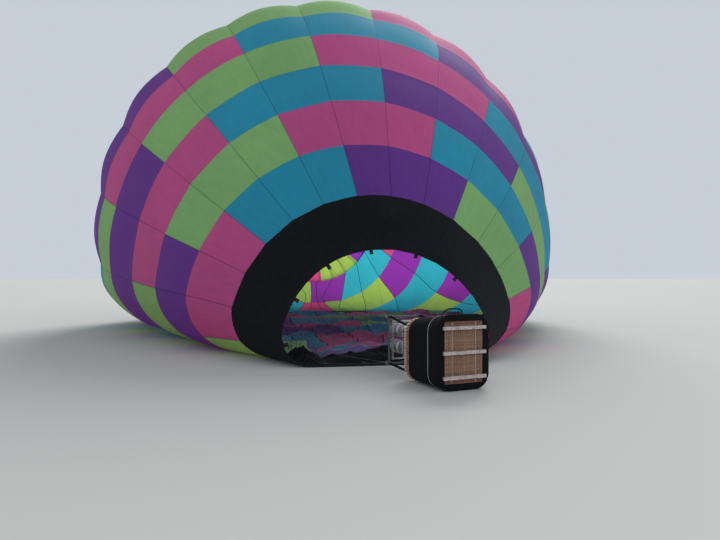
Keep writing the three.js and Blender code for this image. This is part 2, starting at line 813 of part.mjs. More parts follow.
// A tab at the end of each wire lies against the mouth's edge and reaches inward from the outer face
const mouth = seamAt(0);
const mouthIn = new THREE.Vector3(0, mouth.topZ - mouth.baseZ, mouth.baseY - mouth.topY).normalize();

function tabAt(gore) {
  const depth = tabSize[1] / 2 + 1;
  const outer = sectionPoint(mouth, gore, 0);
  const centre = sectionPoint(mouth, gore, depth);
  const outward = outer.sub(centre).normalize();
  const along = new THREE.Vector3().crossVectors(outward, mouthIn);
  const place = centre.clone().addScaledVector(mouthIn, -(tabSize[2] / 2 + seatGap));
  const turn = new THREE.Matrix4().makeBasis(along, outward, mouthIn).setPosition(place);
  return { geometry: new THREE.BoxGeometry(...tabSize).applyMatrix4(turn), place };
}

const wireGroups = [
  [-1, 1, 3],
  [5, 7, 9],
  [11, 13, 15],
  [17, 19, 21],
];
cornerNames.forEach(([name, sideX, sideY], i) => {
  const link = named("link_" + name, linkGeometry(), finish(colours.steel, 0.3, 0.9));
  link.position.set(sideX * frameX, sideY * frameY, linkBase + linkLength / 2);
  basket.add(link);
  const eyeSize = 26;
  const eye = at(sideX * frameX, sideY * frameY, linkBase + linkLength + eyeSize / 2 + seatGap);
  const eyeWorld = basket.localToWorld(eye.clone());
  const eyeBlock = new THREE.BoxGeometry(eyeSize, eyeSize, eyeSize).applyMatrix4(
    new THREE.Matrix4().extractRotation(basket.matrixWorld).setPosition(eyeWorld),
  );
  const pieces = [eyeBlock];
  for (const gore of wireGroups[i]) {
    const tab = tabAt(gore);
    pieces.push(rod(eyeWorld, tab.place, wireRadius, 6), tab.geometry);
  }
  envelope.add(named("flying_wires_" + name, fuse(pieces), finish(colours.steel, 0.4, 0.8)));
});

// The whole stands with its box's bottom centre at the origin
const box = new THREE.Box3().setFromObject(object, true);
object.position.set(-(box.min.x + box.max.x) / 2, -(box.min.y + box.max.y) / 2, -box.min.z);
object.updateMatrixWorld(true);

const balloon = new THREE.Group();
balloon.add(object);
export default balloon;
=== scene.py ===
"""Looks of a hot air balloon that lies on its side while it fills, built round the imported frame. Metres."""
from math import atan2, cos, pi, radians, sin, sqrt

import bmesh
import bpy
import numpy as np
from mathutils import Matrix, Vector, noise


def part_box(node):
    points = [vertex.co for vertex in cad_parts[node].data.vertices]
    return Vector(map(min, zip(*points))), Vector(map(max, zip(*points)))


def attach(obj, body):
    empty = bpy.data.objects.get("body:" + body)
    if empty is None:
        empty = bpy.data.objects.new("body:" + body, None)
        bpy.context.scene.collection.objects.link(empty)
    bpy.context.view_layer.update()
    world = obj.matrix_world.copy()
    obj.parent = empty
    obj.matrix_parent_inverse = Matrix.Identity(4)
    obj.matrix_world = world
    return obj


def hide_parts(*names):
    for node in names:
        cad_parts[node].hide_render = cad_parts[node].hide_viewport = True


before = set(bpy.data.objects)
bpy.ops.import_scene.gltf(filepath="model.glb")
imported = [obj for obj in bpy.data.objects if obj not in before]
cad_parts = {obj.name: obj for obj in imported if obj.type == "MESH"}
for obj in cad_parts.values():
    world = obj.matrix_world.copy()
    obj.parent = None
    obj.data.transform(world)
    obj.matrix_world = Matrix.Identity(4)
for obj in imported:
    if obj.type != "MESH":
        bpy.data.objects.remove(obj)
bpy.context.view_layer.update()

full_turn = 2 * pi

# Places taken from the frame: x of the envelope's middle plane, y of the mouth's lower edge
slack_from = 0.26
slack_low, slack_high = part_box("slack_cloth")
field = Vector(((slack_low.x + slack_high.x) / 2, slack_low.y - slack_from, 0))

# Camera, in the field's frame
camera_place = Vector((-2.308, -10.382, 1.70))
camera_yaw = 0.1645
camera_lens = 27.97
horizon_below_middle = 5.9
photo_width = 720

# Envelope: rows count from the mouth, and gores go round from the left of the crown line
gore_count = 24
last_row = 13
crown_line_seam = 3.58
row_length = 1.56
gore_bulge = 0.055
mouth_bulge = 0.006
last_flat_row = 4
full_bulge_row = 7
bulge_fade_height = 0.14
straight_cut = 1.5
first_floor_gore = 10
last_floor_gore = 20
fold_length = 0.24
small_pleat = 0.13

# Fineness of the cloth's mesh: points across a gore, and along each of its rows
steps_across_arch = 16
steps_across_floor = 36
steps_low_rows = 16
steps_high_rows = 8
steps_folded_rows = 32
low_rows = 3
folded_rows = 9

# One line for each horizontal seam, mouth to vent edge, as in the frame's cloth:
# top y, top z, base y, base z, radius of the large arc, small arc as a share of it, width of a gore
seams = np.array([
    [0.58, 2.24, 0.00, 0, 2.10, 0.29, 0.471],
    [1.29, 3.42, 1.37, 0, 3.12, 0.29, 0.740],
    [2.17, 4.70, 2.59, 0, 4.16, 0.29, 1.042],
    [3.12, 6.01, 3.96, 0, 5.00, 0.29, 1.345],
    [4.17, 7.26, 5.41, 0, 5.82, 0.29, 1.631],
    [5.28, 8.51, 6.98, 0, 6.74, 0.29, 1.919],
    [6.47, 9.60, 8.66, 0, 7.40, 0.29, 2.157],
    [7.75, 10.54, 10.35, 0, 7.87, 0.29, 2.353],
    [9.32, 10.81, 11.90, 0, 7.78, 0.30, 2.400],
    [10.89, 10.43, 13.40, 0, 7.13, 0.32, 2.260],
    [12.31, 9.62, 14.91, 0, 6.17, 0.40, 1.970],
    [13.56, 8.58, 16.36, 0, 5.11, 0.54, 1.570],
    [14.72, 7.44, 17.53, 0.38, 3.93, 0.75, 1.160],
    [15.82, 6.23, 18.22, 1.56, 2.66, 0.97, 0.695],
])

# Slack cloth in the mouth: its stripes are a share of its length and a panel colour
slack_width = 2.5
slack_length = 2.3
slack_ridge = 0.260
slack_ridges = 3.3
slack_cut = (3.0, 2.8)
slack_stripes = ((0.30, 0), (0.42, 2), (0.58, 1), (0.80, 4), (1.01, 1))

# Crown
crown_rise = 0.5
hub_radius = 0.26
parachute_flat_radius = 2.42
parachute_skirt_radius = 2.70
parachute_skirt_drop = 0.19

# Basket, in its own upright frame: x across, y deep, z up from the underside of the skids
basket_yaw = radians(14.5)
basket_base = Vector((0.58, -2.50, 0.569))
basket_width = 0.90
basket_depth = 1.13
basket_corner = 0.24
rim_radius = 0.028
rim_inset = 0.024
rim_height = 1.052
rim_narrowing = 0.120
rim_band = 0.053
wall_inset = 0.0245
wall_bottom = 0.0563
wall_ends = (0.060, 1.022)
wall_row = 0.0205
stake_pitch = 0.034
cover_thickness = 0.0117
cover_top = 0.918
lace_height = 0.330
lace_radius = 0.006
lace_inset = 0.003
lace_gap = 0.0055
panel_width = 0.67
panel_depth = 0.92
border_bottom = 0.0403
border_top = 0.0558
floor_middle = 0.0583
floor_row = 0.0105
floor_rope_x = 0.207
floor_rope_z = 0.045
stitch_radius = 0.0009

# Burner frame, burners and tanks, in the basket's frame
frame_height = 1.90
frame_x = 0.30
frame_y = 0.41
upright_inset = 0.159
upright_head = 1.8677
upright_bend = 1.16
link_middle = 1.9843
eye_height = 2.0496
burner_spacing = 0.15
bar_half = 0.3157
can_bottom = 1.965
can_height = 0.095
can_jets = 0.055
coil_radius = 0.113
coil_turns = 5
coil_pitch = 0.034
tank_bottom = 0.0903

# Which side of the frame each group of wires is on, and the gore edges it goes to
wire_groups = {
    "top_left": (-1, -1, (-1, 1, 3)),
    "top_right": (1, -1, (5, 7, 9)),
    "low_right": (1, 1, (11, 13, 15)),
    "low_left": (-1, 1, (17, 19, 21)),
}

basket_place = (
    Matrix.Translation(field + basket_base)
    @ Matrix.Rotation(basket_yaw, 4, "Z")
    @ Matrix.Rotation(-pi / 2, 4, "X")
)

# The crown's own frame: z out of the vent, x across, as in the frame
vent_top, vent_base = (Vector((0, *seams[last_row][k:k + 2])) for k in (0, 2))
crown_tilt = atan2(vent_top.z - vent_base.z, vent_base.y - vent_top.y)
crown_place = Matrix.Translation(field + (vent_base + vent_top) / 2) @ Matrix.Rotation(-crown_tilt, 4, "X")

# Colours of the cloth: as light falls on it, and as light comes through it
cloth_colours = {
    "cyan": ("#1E9CC0", "#48DCEC"),
    "violet": ("#603A96", "#BE46D2"),
    "green": ("#88C880", "#CDF064"),
    "pink": ("#D65A9A", "#FF64A0"),
}
light_share = 0.42
# Grey that cloth lying on the ground is mixed toward: a painted sheen of sky reflected at a grazing angle
painted_sheen_grey = "#8C8E94"


def linear(hexadecimal):
    """A colour written as on the web, as Blender's linear red, green, blue and alpha."""
    shares = [int(hexadecimal[i:i + 2], 16) / 255 for i in (1, 3, 5)]
    return [s / 12.92 if s < 0.04045 else ((s + 0.055) / 1.055) ** 2.4 for s in shares] + [1.0]


# Shader building
class Look:
    """A material and its node tree, with short ways to add nodes and to do sums."""

    def __init__(self, name):
        self.material = bpy.data.materials.new(name)
        self.material.use_nodes = True
        self.tree = self.material.node_tree
        self.surface = self.tree.nodes["Principled BSDF"]
        self.place = self.add("TexCoord").outputs["Object"]

    def fill(self, node, inputs):
        """Links from other nodes, plain values, and colours written as on the web."""
        for name, value in inputs.items():
            if isinstance(value, bpy.types.NodeSocket):
                self.tree.links.new(value, node.inputs[name])
            else:
                node.inputs[name].default_value = linear(value) if isinstance(value, str) else value

    def add(self, kind, inputs=None, **settings):
        node = self.tree.nodes.new("ShaderNode" + kind)
        for name, value in settings.items():
            setattr(node, name, value)
        self.fill(node, inputs or {})
        return node

    def sum(self, operation, first, second):
        return self.add("Math", {0: first, 1: second}, operation=operation).outputs[0]

    def times(self, value, *factors):
        for factor in factors:
            value = self.sum("MULTIPLY", value, factor)
        return value

    def scaled(self, colour, share):
        plain = linear(colour)[:3] if isinstance(colour, str) else colour
        return self.add("VectorMath", {0: plain, "Scale": share}, operation="SCALE").outputs[0]

    def ramp(self, value, low, high, to_low=0.0, to_high=1.0):
        inputs = {"Value": value, "From Min": low, "From Max": high, "To Min": to_low, "To Max": to_high}
        return self.add("MapRange", inputs, interpolation_type="SMOOTHSTEP").outputs[0]

    def near(self, distance, full, none):
        return self.ramp(distance, full, none, 1.0, 0.0)

    def darker(self, share, tone):
        return self.ramp(share, 0.0, 1.0, 1.0, tone)

    def noise(self, scale, detail=3.0, roughness=0.5, where=None):
        """Noise with one scale, or with one for each axis, in the piece's own frame unless told where."""
        where = where or self.place
        if isinstance(scale, tuple):
            where = self.add("Mapping", {"Vector": where, "Scale": scale}).outputs[0]
            scale = 1.0
        inputs = {"Vector": where, "Scale": scale, "Detail": detail, "Roughness": roughness}
        return self.add("TexNoise", inputs).outputs["Fac"]

    def blend(self, share, first, second):
        """Two colours mixed; a mix node's colours are its sockets 6 and 7, and its result is output 2."""
        return self.add("Mix", {0: share, 6: first, 7: second}, data_type="RGBA").outputs[2]

    def bumps(self, *layers):
        """A normal from layers of relief, each with its depth and its strength."""
        inputs = {}
        for height, distance, strength in layers:
            inputs.update({"Height": height, "Distance": distance, "Strength": strength})
            inputs["Normal"] = self.add("Bump", inputs).outputs[0]
        return inputs["Normal"]

    def attribute(self, name):
        return self.add("Attribute", attribute_name=name).outputs["Fac"]

    def finish(self, colour, roughness, normal, others=None):
        inputs = {"Base Color": colour, "Roughness": roughness, "Normal": normal}
        self.fill(self.surface, {**inputs, **(others or {})})
        return self.material


def cloth_look(name, seen, through):
    """Coated ripstop: fine grid, flat-felled seams, panels from different bolts, and light through it."""
    look = Look(name)
    cloth = look.add("UVMap", uv_map="cloth").outputs[0]
    axes = look.add("SeparateXYZ", {0: cloth}).outputs
    cells = [look.sum("PINGPONG", axes[k], 0.004) for k in (0, 1)]
    grid = look.sum("MAXIMUM", *(look.near(cell, 0.0, 0.0007) for cell in cells))
    from_seam = look.attribute("seam")
    seam = look.near(from_seam, 0.004, 0.013)
    edge = look.near(from_seam, 0.013, 0.022)
    gore_edge = look.near(look.attribute("edge"), 0.005, 0.012)
    clouds = look.noise(0.45, 4.0, 0.55)
    streaks = look.noise((9.0, 1.4, 1.0), 5.0, 0.6, where=cloth)
    tone = look.times(
        look.ramp(clouds, 0.25, 0.75, 0.93, 1.06),
        look.attribute("tone"),
        look.ramp(streaks, 0.3, 0.7, 0.97, 1.03),
        look.darker(seam, 0.85),
        look.darker(gore_edge, 0.68),
        look.darker(grid, 0.93),
    )
    # Where the cloth lies on the ground its colour is mixed toward grey, a painted sheen of reflected sky
    laid = look.attribute("laid")
    colour = look.scaled(look.blend(look.times(laid, 0.34), seen, painted_sheen_grey), tone)
    creases = look.noise((7.0, 3.0, 1.0), 6.0, 0.62, where=cloth)
    puckers = look.times(look.noise((26.0, 4.0, 1.0), 2.0, where=cloth), look.near(from_seam, 0.0, 0.22))
    relief = look.sum("ADD", creases, puckers)
    normal = look.bumps((relief, 0.012, 0.55), (edge, 0.002, 0.6), (grid, 0.0004, 0.35))
    look.finish(colour, look.ramp(clouds, 0.2, 0.8, 0.56, 0.7), normal, {"Specular IOR Level": 0.3})
    light_through = look.add("BsdfTranslucent", {"Color": look.scaled(through, tone), "Normal": normal})
    share = look.ramp(laid, 0.0, 1.0, light_share, 0.3 * light_share)
    both = look.add("MixShader", {0: share, 1: look.surface.outputs[0], 2: light_through.outputs[0]})
    look.fill(look.tree.nodes["Material Output"], {"Surface": both.outputs[0]})
    return look.material


def band_look(name):
    """Matt black flame-resistant cloth, faintly quilted by its weave."""
    look = Look(name)
    cloth = look.add("UVMap", uv_map="cloth").outputs[0]
    clouds = look.noise(0.8, 5.0, 0.6)
    spots = look.noise(14.0, 3.0, 0.6)
    tone = look.times(
        look.ramp(clouds, 0.25, 0.75, 0.8, 1.25),
        look.ramp(spots, 0.3, 0.7, 0.85, 1.2),
        look.darker(look.near(look.attribute("seam"), 0.004, 0.013), 0.8),
    )
    weave = look.noise((5.0, 3.0, 1.0), 6.0, 0.65, where=cloth)
    normal = look.bumps((weave, 0.016, 0.6), (spots, 0.004, 0.5))
    others = {"Specular IOR Level": 0.12, "Sheen Weight": 0.02, "Sheen Roughness": 0.5}
    return look.finish(look.scaled("#111418", tone), 0.9, normal, others)


def leather_look(name, colour):
    """Suede leather: soft grain, paler scuffs in scattered patches, faint stains."""
    look = Look(name)
    stains = look.noise(3.5, 5.0, 0.6)
    grain = look.noise(160.0, 4.0, 0.7)
    scuffs = look.ramp(look.noise((9.0, 9.0, 30.0), 6.0, 0.7), 0.6, 0.78)
    tone = look.times(look.ramp(stains, 0.25, 0.75, 0.7, 1.35), look.ramp(grain, 0.3, 0.7, 0.85, 1.15))
    worn = look.blend(look.times(scuffs, 0.2), look.scaled(colour, tone), "#3A3B3C")
    normal = look.bumps((look.noise(11.0, 4.0, 0.55), 0.006, 0.5), (grain, 0.0008, 0.5))
    others = {"Specular IOR Level": 0.1, "Sheen Weight": 0.01, "Sheen Roughness": 0.4}
    return look.finish(worn, look.ramp(stains, 0.2, 0.8, 0.68, 0.85), normal, others)


def cane_look(name, pale, dark, wound=False):
    """Peeled cane: each rod in its own tone, fibres along it, darker specks and knots. Where it is
    wound, the tone is painted shade instead, darkest in the grooves between the turns."""
    look = Look(name)
    tone = look.attribute("tone")
    spread = look.noise(24.0) if wound else look.sum("FRACT", look.times(tone, 37.7), 0.0)
    rod = {0: look.times(look.attribute("along"), 5.0), 1: look.times(spread, 40.0)}
    patches = look.noise(1.0, 4.0, 0.6, where=look.add("CombineXYZ", rod).outputs[0])
    fibres = look.noise((260.0, 260.0, 260.0), 3.0, 0.6)
    specks = look.ramp(look.noise(85.0, 2.0, 0.5), 0.66, 0.74)
    share = look.sum("ADD", look.times(spread, 0.45), look.times(patches, 0.65))
    colour = look.blend(look.ramp(share, 0.2, 0.9), pale, dark)
    colour = look.blend(look.times(specks, 0.5), colour, "#3E2A1C")
    colour = look.scaled(colour, look.ramp(fibres, 0.3, 0.7, 0.88, 1.1))
    # Wound cane: the tone is painted shade, darkest in the grooves between the turns
    if wound:
        colour = look.scaled(colour, tone)
    roughness = look.ramp(patches, 0.2, 0.8, 0.5, 0.68)
    return look.finish(colour, roughness, look.bumps((fibres, 0.0006, 0.4)), {"Specular IOR Level": 0.4})


def wood_look(name):
    """Worn bare timber, greyed, with grain along x, scratches and dark dirt in the pores."""
    look = Look(name)
    grain = look.noise((3.0, 55.0, 55.0), 6.0, 0.65)
    rings = look.noise((1.2, 14.0, 14.0))
    dirt = look.ramp(look.noise(9.0, 5.0, 0.65), 0.5, 0.72)
    scratch = look.ramp(look.noise((5.0, 120.0, 120.0)), 0.64, 0.7)
    colour = look.blend(look.ramp(grain, 0.35, 0.65), "#D2C6C4", "#9C8C88")
    colour = look.blend(look.ramp(rings, 0.4, 0.7, 0.0, 0.5), colour, "#BDB0AE")
    colour = look.blend(look.times(dirt, 0.45), colour, "#5C5250")
    colour = look.blend(look.times(scratch, 0.6), colour, "#E6DEDC")
    return look.finish(colour, 0.78, look.bumps((grain, 0.0015, 0.6)))


def rope_look(name, pale, dirty):
    """Laid rope: the strands are in the mesh; the yarns, patches of dirt, and painted shade in the grooves
    between strands (carried by the tone) are here.
    """
    look = Look(name)
    yarns = look.noise((420.0, 420.0, 420.0), 2.0)
    dirt = look.noise(14.0, 5.0, 0.65)
    colour = look.blend(look.ramp(dirt, 0.35, 0.75, 0.0, 0.7), pale, dirty)
    # On the ropes the tone is painted shade, darker in the grooves between the strands
    colour = look.scaled(colour, look.times(look.attribute("tone"), look.ramp(yarns, 0.3, 0.7, 0.85, 1.1)))
    return look.finish(colour, 0.88, look.bumps((yarns, 0.0006, 0.6)), {"Specular IOR Level": 0.25})


def webbing_look(name, colour):
    """Woven tape: ribs across it and a fine twill."""
    look = Look(name)
    ribs = look.noise((300.0, 300.0, 300.0), 2.0)
    dirt = look.noise(6.0, 4.0, 0.6)
    tone = look.times(look.ramp(ribs, 0.3, 0.7, 0.8, 1.2), look.ramp(dirt, 0.3, 0.7, 0.85, 1.15))
    normal = look.bumps((ribs, 0.0008, 0.6))
    return look.finish(look.scaled(colour, tone), 0.82, normal, {"Specular IOR Level": 0.25})


def metal_look(name, colour, roughness, metallic=1.0, heated=False):
    """Brushed or coated metal with smears and, where it gets hot, straw to blue tints."""
    look = Look(name)
    smears = look.noise(22.0, 5.0, 0.6)
    brush = look.noise((40.0, 40.0, 420.0))
    tone = look.times(look.ramp(smears, 0.25, 0.75, 0.85, 1.08), look.ramp(brush, 0.3, 0.7, 0.95, 1.05))
    shade = look.scaled(colour, tone)
    if heated:
        straw = look.ramp(look.noise(7.0), 0.4, 0.65)
        shade = look.blend(look.times(straw, 0.55), shade, "#A07A4E")
        blue = look.ramp(look.noise((5.0, 5.0, 11.0)), 0.55, 0.7)
        shade = look.blend(look.times(blue, 0.45), shade, "#5B6A8C")
    smeared = look.ramp(smears, 0.2, 0.8, roughness, roughness + 0.18)
    return look.finish(shade, smeared, look.bumps((brush, 0.0003, 0.3)), {"Metallic": metallic})


coated_metallic = 0.35
cloth_looks = [cloth_look("cloth_" + name, *pair) for name, pair in cloth_colours.items()]
black_band = band_look("cloth_black")
suede = leather_look("suede", "#0D0F12")
piping_look = leather_look("piping", "#16181C")
cane = cane_look("cane", "#C29B7C", "#86614A")
red_cane = cane_look("cane_border", "#C48A6C", "#7C4A38")
rim_cane = cane_look("cane_rim", "#E2CBB6", "#AE9078", wound=True)
timber = wood_look("timber")
pale_rope = rope_look("rope", "#D8CFC2", "#978B7C")
dark_tape = webbing_look("load_tape", "#1C1F24")
black_web = webbing_look("black_webbing", "#111316")
steel = metal_look("steel", "#C4C6C8", 0.26)
wire_steel = metal_look("wire_steel", "#7C7F83", 0.45)
dark_metal = metal_look("frame_coating", "#5A5E63", 0.42, coated_metallic)
hot_steel = metal_look("heated_steel", "#B9BABC", 0.24, heated=True)
tank_metal = metal_look("tank_alloy", "#C9CBCD", 0.34)
lever_paint = metal_look("lever_paint", "#9E241C", 0.38, coated_metallic)


# Sums on paths and grids of points
def unit(values):
    """Values kept between 0 and 1."""
    return np.clip(values, 0, 1)


def eased(share):
    """A share from 0 to 1 with a soft start and a soft end."""
    return share * share * (3 - 2 * share)


def unit_rows(vectors):
    return vectors / np.linalg.norm(vectors, axis=1)[:, None]


def circle(count):
    """Evenly spaced angles of a full turn."""
    return full_turn * np.arange(count) / count


def lengths(path):
    """Distance along a path from its start to each of its points."""
    return np.concatenate([[0], np.cumsum(np.linalg.norm(np.diff(path, axis=0), axis=1))])


def read_off(values, length, wanted):
    """Values known at some lengths, read off at others."""
    return np.stack([np.interp(wanted, length, column) for column in values.T], -1)


def smooth_path(points, count):
    """A smooth curve through a few points, as evenly spaced points."""
    points = np.asarray(points, float)
    padded = np.vstack([2 * points[0] - points[1], points, 2 * points[-1] - points[-2]])
    t = np.linspace(0, 1, 24, endpoint=False)[:, None]
    fine = []
    for i in range(len(points) - 1):
        a, b, c, d = padded[i:i + 4]
        fine.append(b + 0.5 * t * (c - a + t * (2 * a - 5 * b + 4 * c - d + t * (3 * (b - c) + d - a))))
    fine = np.vstack([*fine, points[-1:]])
    length = lengths(fine)
    return read_off(fine, length, np.linspace(0, length[-1], count))


def ring_path(centre, radius, count, first=(1, 0, 0), second=(0, 1, 0)):
    """Points of a circle round a centre, in the plane of two directions."""
    first = Vector(first).normalized()
    second = (Vector(second) - first * Vector(second).dot(first)).normalized()
    turn = circle(count)[:, None]
    return np.array(centre) + radius * (np.cos(turn) * np.array(first) + np.sin(turn) * np.array(second))


def noise_field(points, scale, seed):
    """Smooth noise from -1 to 1 at many points; scale is a vector of cycles per metre."""
    flat = points.reshape(-1, 3) * np.array(scale) + seed
    return np.array([noise.noise(p) for p in flat.tolist()]).reshape(points.shape[:-1])


def crumple(points, scale, seed):
    """Creased noise from 0 to 1: sharp ridges with soft hollows between them."""
    return unit(1 - np.abs(2.2 * noise_field(points, scale, seed))) ** 1.4


def in_place(points, place):
    """Points moved by a matrix."""
    place = np.array(place)
    return points @ place[:3, :3].T + place[:3, 3]


# Mesh building
def make_mesh(name, points, faces, looks=None, materials=()):
    mesh = bpy.data.meshes.new(name)
    mesh.from_pydata(np.asarray(points).tolist(), [], faces)
    for material in materials:
        mesh.materials.append(material)
    if looks is not None:
        mesh.polygons.foreach_set("material_index", looks)
    mesh.polygons.foreach_set("use_smooth", [True] * len(mesh.polygons))
    mesh.update()
    piece = bpy.data.objects.new(name, mesh)
    bpy.context.scene.collection.objects.link(piece)
    return piece


def grid_faces(rows, columns):
    """Quads of a grid of rows by columns of points, row by row."""
    first = np.arange(rows - 1)[:, None] * columns + np.arange(columns - 1)[None, :]
    return np.stack([first, first + 1, first + columns + 1, first + columns], -1).reshape(-1, 4).tolist()


def ring_faces(rings, count, closed=False, capped=True, flipped=False):
    """Quads between rings of points, and a face over each end unless the last ring meets the first."""
    ring = np.arange(rings if closed else rings - 1)[:, None]
    here = np.arange(count)[None, :]
    beside = (here + 1) % count
    ahead = (ring + 1) % rings * count
    quads = np.stack([ring * count + here, ring * count + beside, ahead + beside, ahead + here], -1)
    if flipped:
        quads = quads[..., [0, 3, 2, 1]]
    faces = quads.reshape(-1, 4).tolist()
    if capped and not closed:
        faces += [list(range(count))[::-1], [(rings - 1) * count + i for i in range(count)]]
    return faces


def skin(points, **kind):
    """A shape from rings of points; its third part is a length along it, which only tubes have."""
    rings, count = points.shape[:2]
    return points.reshape(-1, 3), ring_faces(rings, count, **kind), np.zeros(rings * count)


def point_attribute(mesh, name, values):
    attribute = mesh.attributes.new(name, "FLOAT", "POINT")
    attribute.data.foreach_set("value", np.ascontiguousarray(values, dtype=np.float32).ravel())


def cloth_piece(name, body, replaced, points, faces, looks, attributes, cloth, **cut):
    """A sheet of the envelope's cloth, with what its looks read and a UV map in metres."""
    piece = make_mesh(name, points.reshape(-1, 3), faces, looks, [black_band, *cloth_looks])
    mesh = piece.data
    for attribute, values in attributes.items():
        point_attribute(mesh, attribute, values)
    corner_points = np.empty(len(mesh.loops), dtype=np.int32)
    mesh.loops.foreach_get("vertex_index", corner_points)
    layer = mesh.uv_layers.new(name="cloth")
    layer.data.foreach_set("uv", cloth.reshape(-1, 2)[corner_points].astype(np.float32).ravel())
    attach(piece, body)
    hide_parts(*replaced)


class Assembly:
    """Shapes gathered into one mesh, each with its material and its tone."""

    def __init__(self):
        self.points = []
        self.faces = []
        self.looks = []
        self.tones = []
        self.along = []
        self.count = 0

    def add(self, shape, look=0, tone=1.0):
        points, faces, along = shape
        self.points.append(points)
        self.faces.extend([[self.count + i for i in face] for face in faces])
        self.looks.extend([look] * len(faces))
        self.tones.append(np.broadcast_to(tone, len(points)))
        self.along.append(along)
        self.count += len(points)

    def done(self, name, slot_name, materials, replaced=(), body="balloon", place=None, sharp=None):
        piece = make_mesh(name, np.concatenate(self.points), self.faces, self.looks, materials)
        point_attribute(piece.data, "tone", np.concatenate(self.tones))
        point_attribute(piece.data, "along", np.concatenate(self.along))
        if sharp is not None:
            piece.data.set_sharp_from_angle(angle=radians(sharp))
        if place is not None:
            piece.matrix_world = place
        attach(piece, body)
        if replaced:
            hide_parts(*replaced)
        return piece

    def in_basket(self, name, slot_name, materials, *replaced, sloped=False, **settings):
        """A piece in the basket's frame; a sloped one leans in with the uppermost wall."""
        if sloped:
            for points in self.points:
                points[:, 1] += slope_at(points[:, 1], points[:, 2])
        return self.done(name, slot_name, materials, replaced, place=basket_place, **settings)


def tube(path, radius, sides=8, closed=False, flatten=1.0):
    """A tube round a path. The radius is a number, one for each ring, or one for each ring and side."""
    path = np.asarray(path, float)
    side, up = path_frames(path, closed)
    angle = circle(sides)
    reach = np.asarray(radius, float)
    if reach.ndim == 1:
        reach = reach[:, None]
    reach = np.broadcast_to(reach, (len(path), sides))
    sideways = (reach * np.cos(angle))[..., None] * side[:, None, :]
    upward = (reach * np.sin(angle) * flatten)[..., None] * up[:, None, :]
    points, faces, _ = skin(path[:, None, :] + sideways + upward, closed=closed)
    return points, faces, np.repeat(lengths(path), sides)


def path_frames(path, closed):
    """Two directions square to a path at each point, turned as little as possible on the way."""
    tangent = np.roll(path, -1, 0) - np.roll(path, 1, 0) if closed else np.gradient(path, axis=0)
    tangent = unit_rows(tangent)
    start = np.array([0, 0, 1.0] if abs(tangent[0][2]) < 0.8 else [1.0, 0, 0])
    side = np.empty_like(path)
    for i, along in enumerate(tangent):
        start = start - along * start.dot(along)
        start = start / np.linalg.norm(start)
        side[i] = start
    return side, np.cross(tangent, side)


def rope(path, radius, sides, closed=False):
    """A rope of three strands as relief, and a tone that paints shade into its grooves."""
    strands, lay, depth = 3, 6.0, 0.16
    length = lengths(path)
    total = length[-1] + (np.linalg.norm(path[0] - path[-1]) if closed else 0)
    turns = total / (lay * radius)
    if closed:
        turns = round(turns)
    phase = strands * (circle(sides)[None, :] - full_turn * turns * length[:, None] / total / strands)
    lobe = np.abs(np.sin(phase / 2)) ** 0.7
    return tube(path, radius * (1 - depth + depth * lobe), sides, closed), 0, (0.6 + 0.4 * lobe).ravel()


def lathe(profile, centre):
    """A turned shape round z, from pairs of radius and height."""
    radius, height = np.array(profile).T[..., None]
    angle = circle(56)
    x, y = radius * np.cos(angle) + centre[0], radius * np.sin(angle) + centre[1]
    return skin(np.stack([x, y, np.broadcast_to(height, x.shape)], -1))


def block(size, middle, bevel, turn=None):
    """A box with rounded edges."""
    work = bmesh.new()
    bmesh.ops.create_cube(work, size=1.0)
    bmesh.ops.scale(work, vec=size, verts=work.verts)
    bmesh.ops.bevel(work, geom=work.edges[:], offset=bevel, segments=2, profile=0.6, affect="EDGES")
    points = np.array([list(v.co) for v in work.verts])
    faces = [[v.index for v in f.verts] for f in work.faces]
    work.free()
    if turn is not None:
        points = points @ np.array(turn).T
    return points + np.array(middle), faces, np.zeros(len(points))


# Cloth sections
def arch_at(latitude):
    """The cloth's section at any latitude, on a smooth curve through the table: its seam line, its height,
    its small radius, the angle where the large arc ends, half the arch's length and half the flat part."""
    low = np.clip(np.floor(latitude).astype(int), 0, last_row - 1)
    share = (latitude - low)[..., None]
    before, here, after, beyond = (seams[np.clip(low + k, 0, last_row)] for k in (-1, 0, 1, 2))
    bent = 2 * before - 5 * here + 4 * after - beyond + share * (3 * (here - after) + beyond - before)
    seam = here + 0.5 * share * (after - before + share * bent)
    seam[..., 3] = np.maximum(seam[..., 3], 0)
    seam = np.moveaxis(seam, -1, 0)
    top_y, top_z, base_y, base_z, radius, ratio, _ = seam
    height = np.hypot(top_y - base_y, top_z - base_z)
    small = ratio * radius
    bend = np.arccos(np.clip((radius + small - height) / (radius - small), -1, 1))
    return seam, height, small, bend, radius * bend + small * (pi - bend), (radius - small) * np.sin(bend)


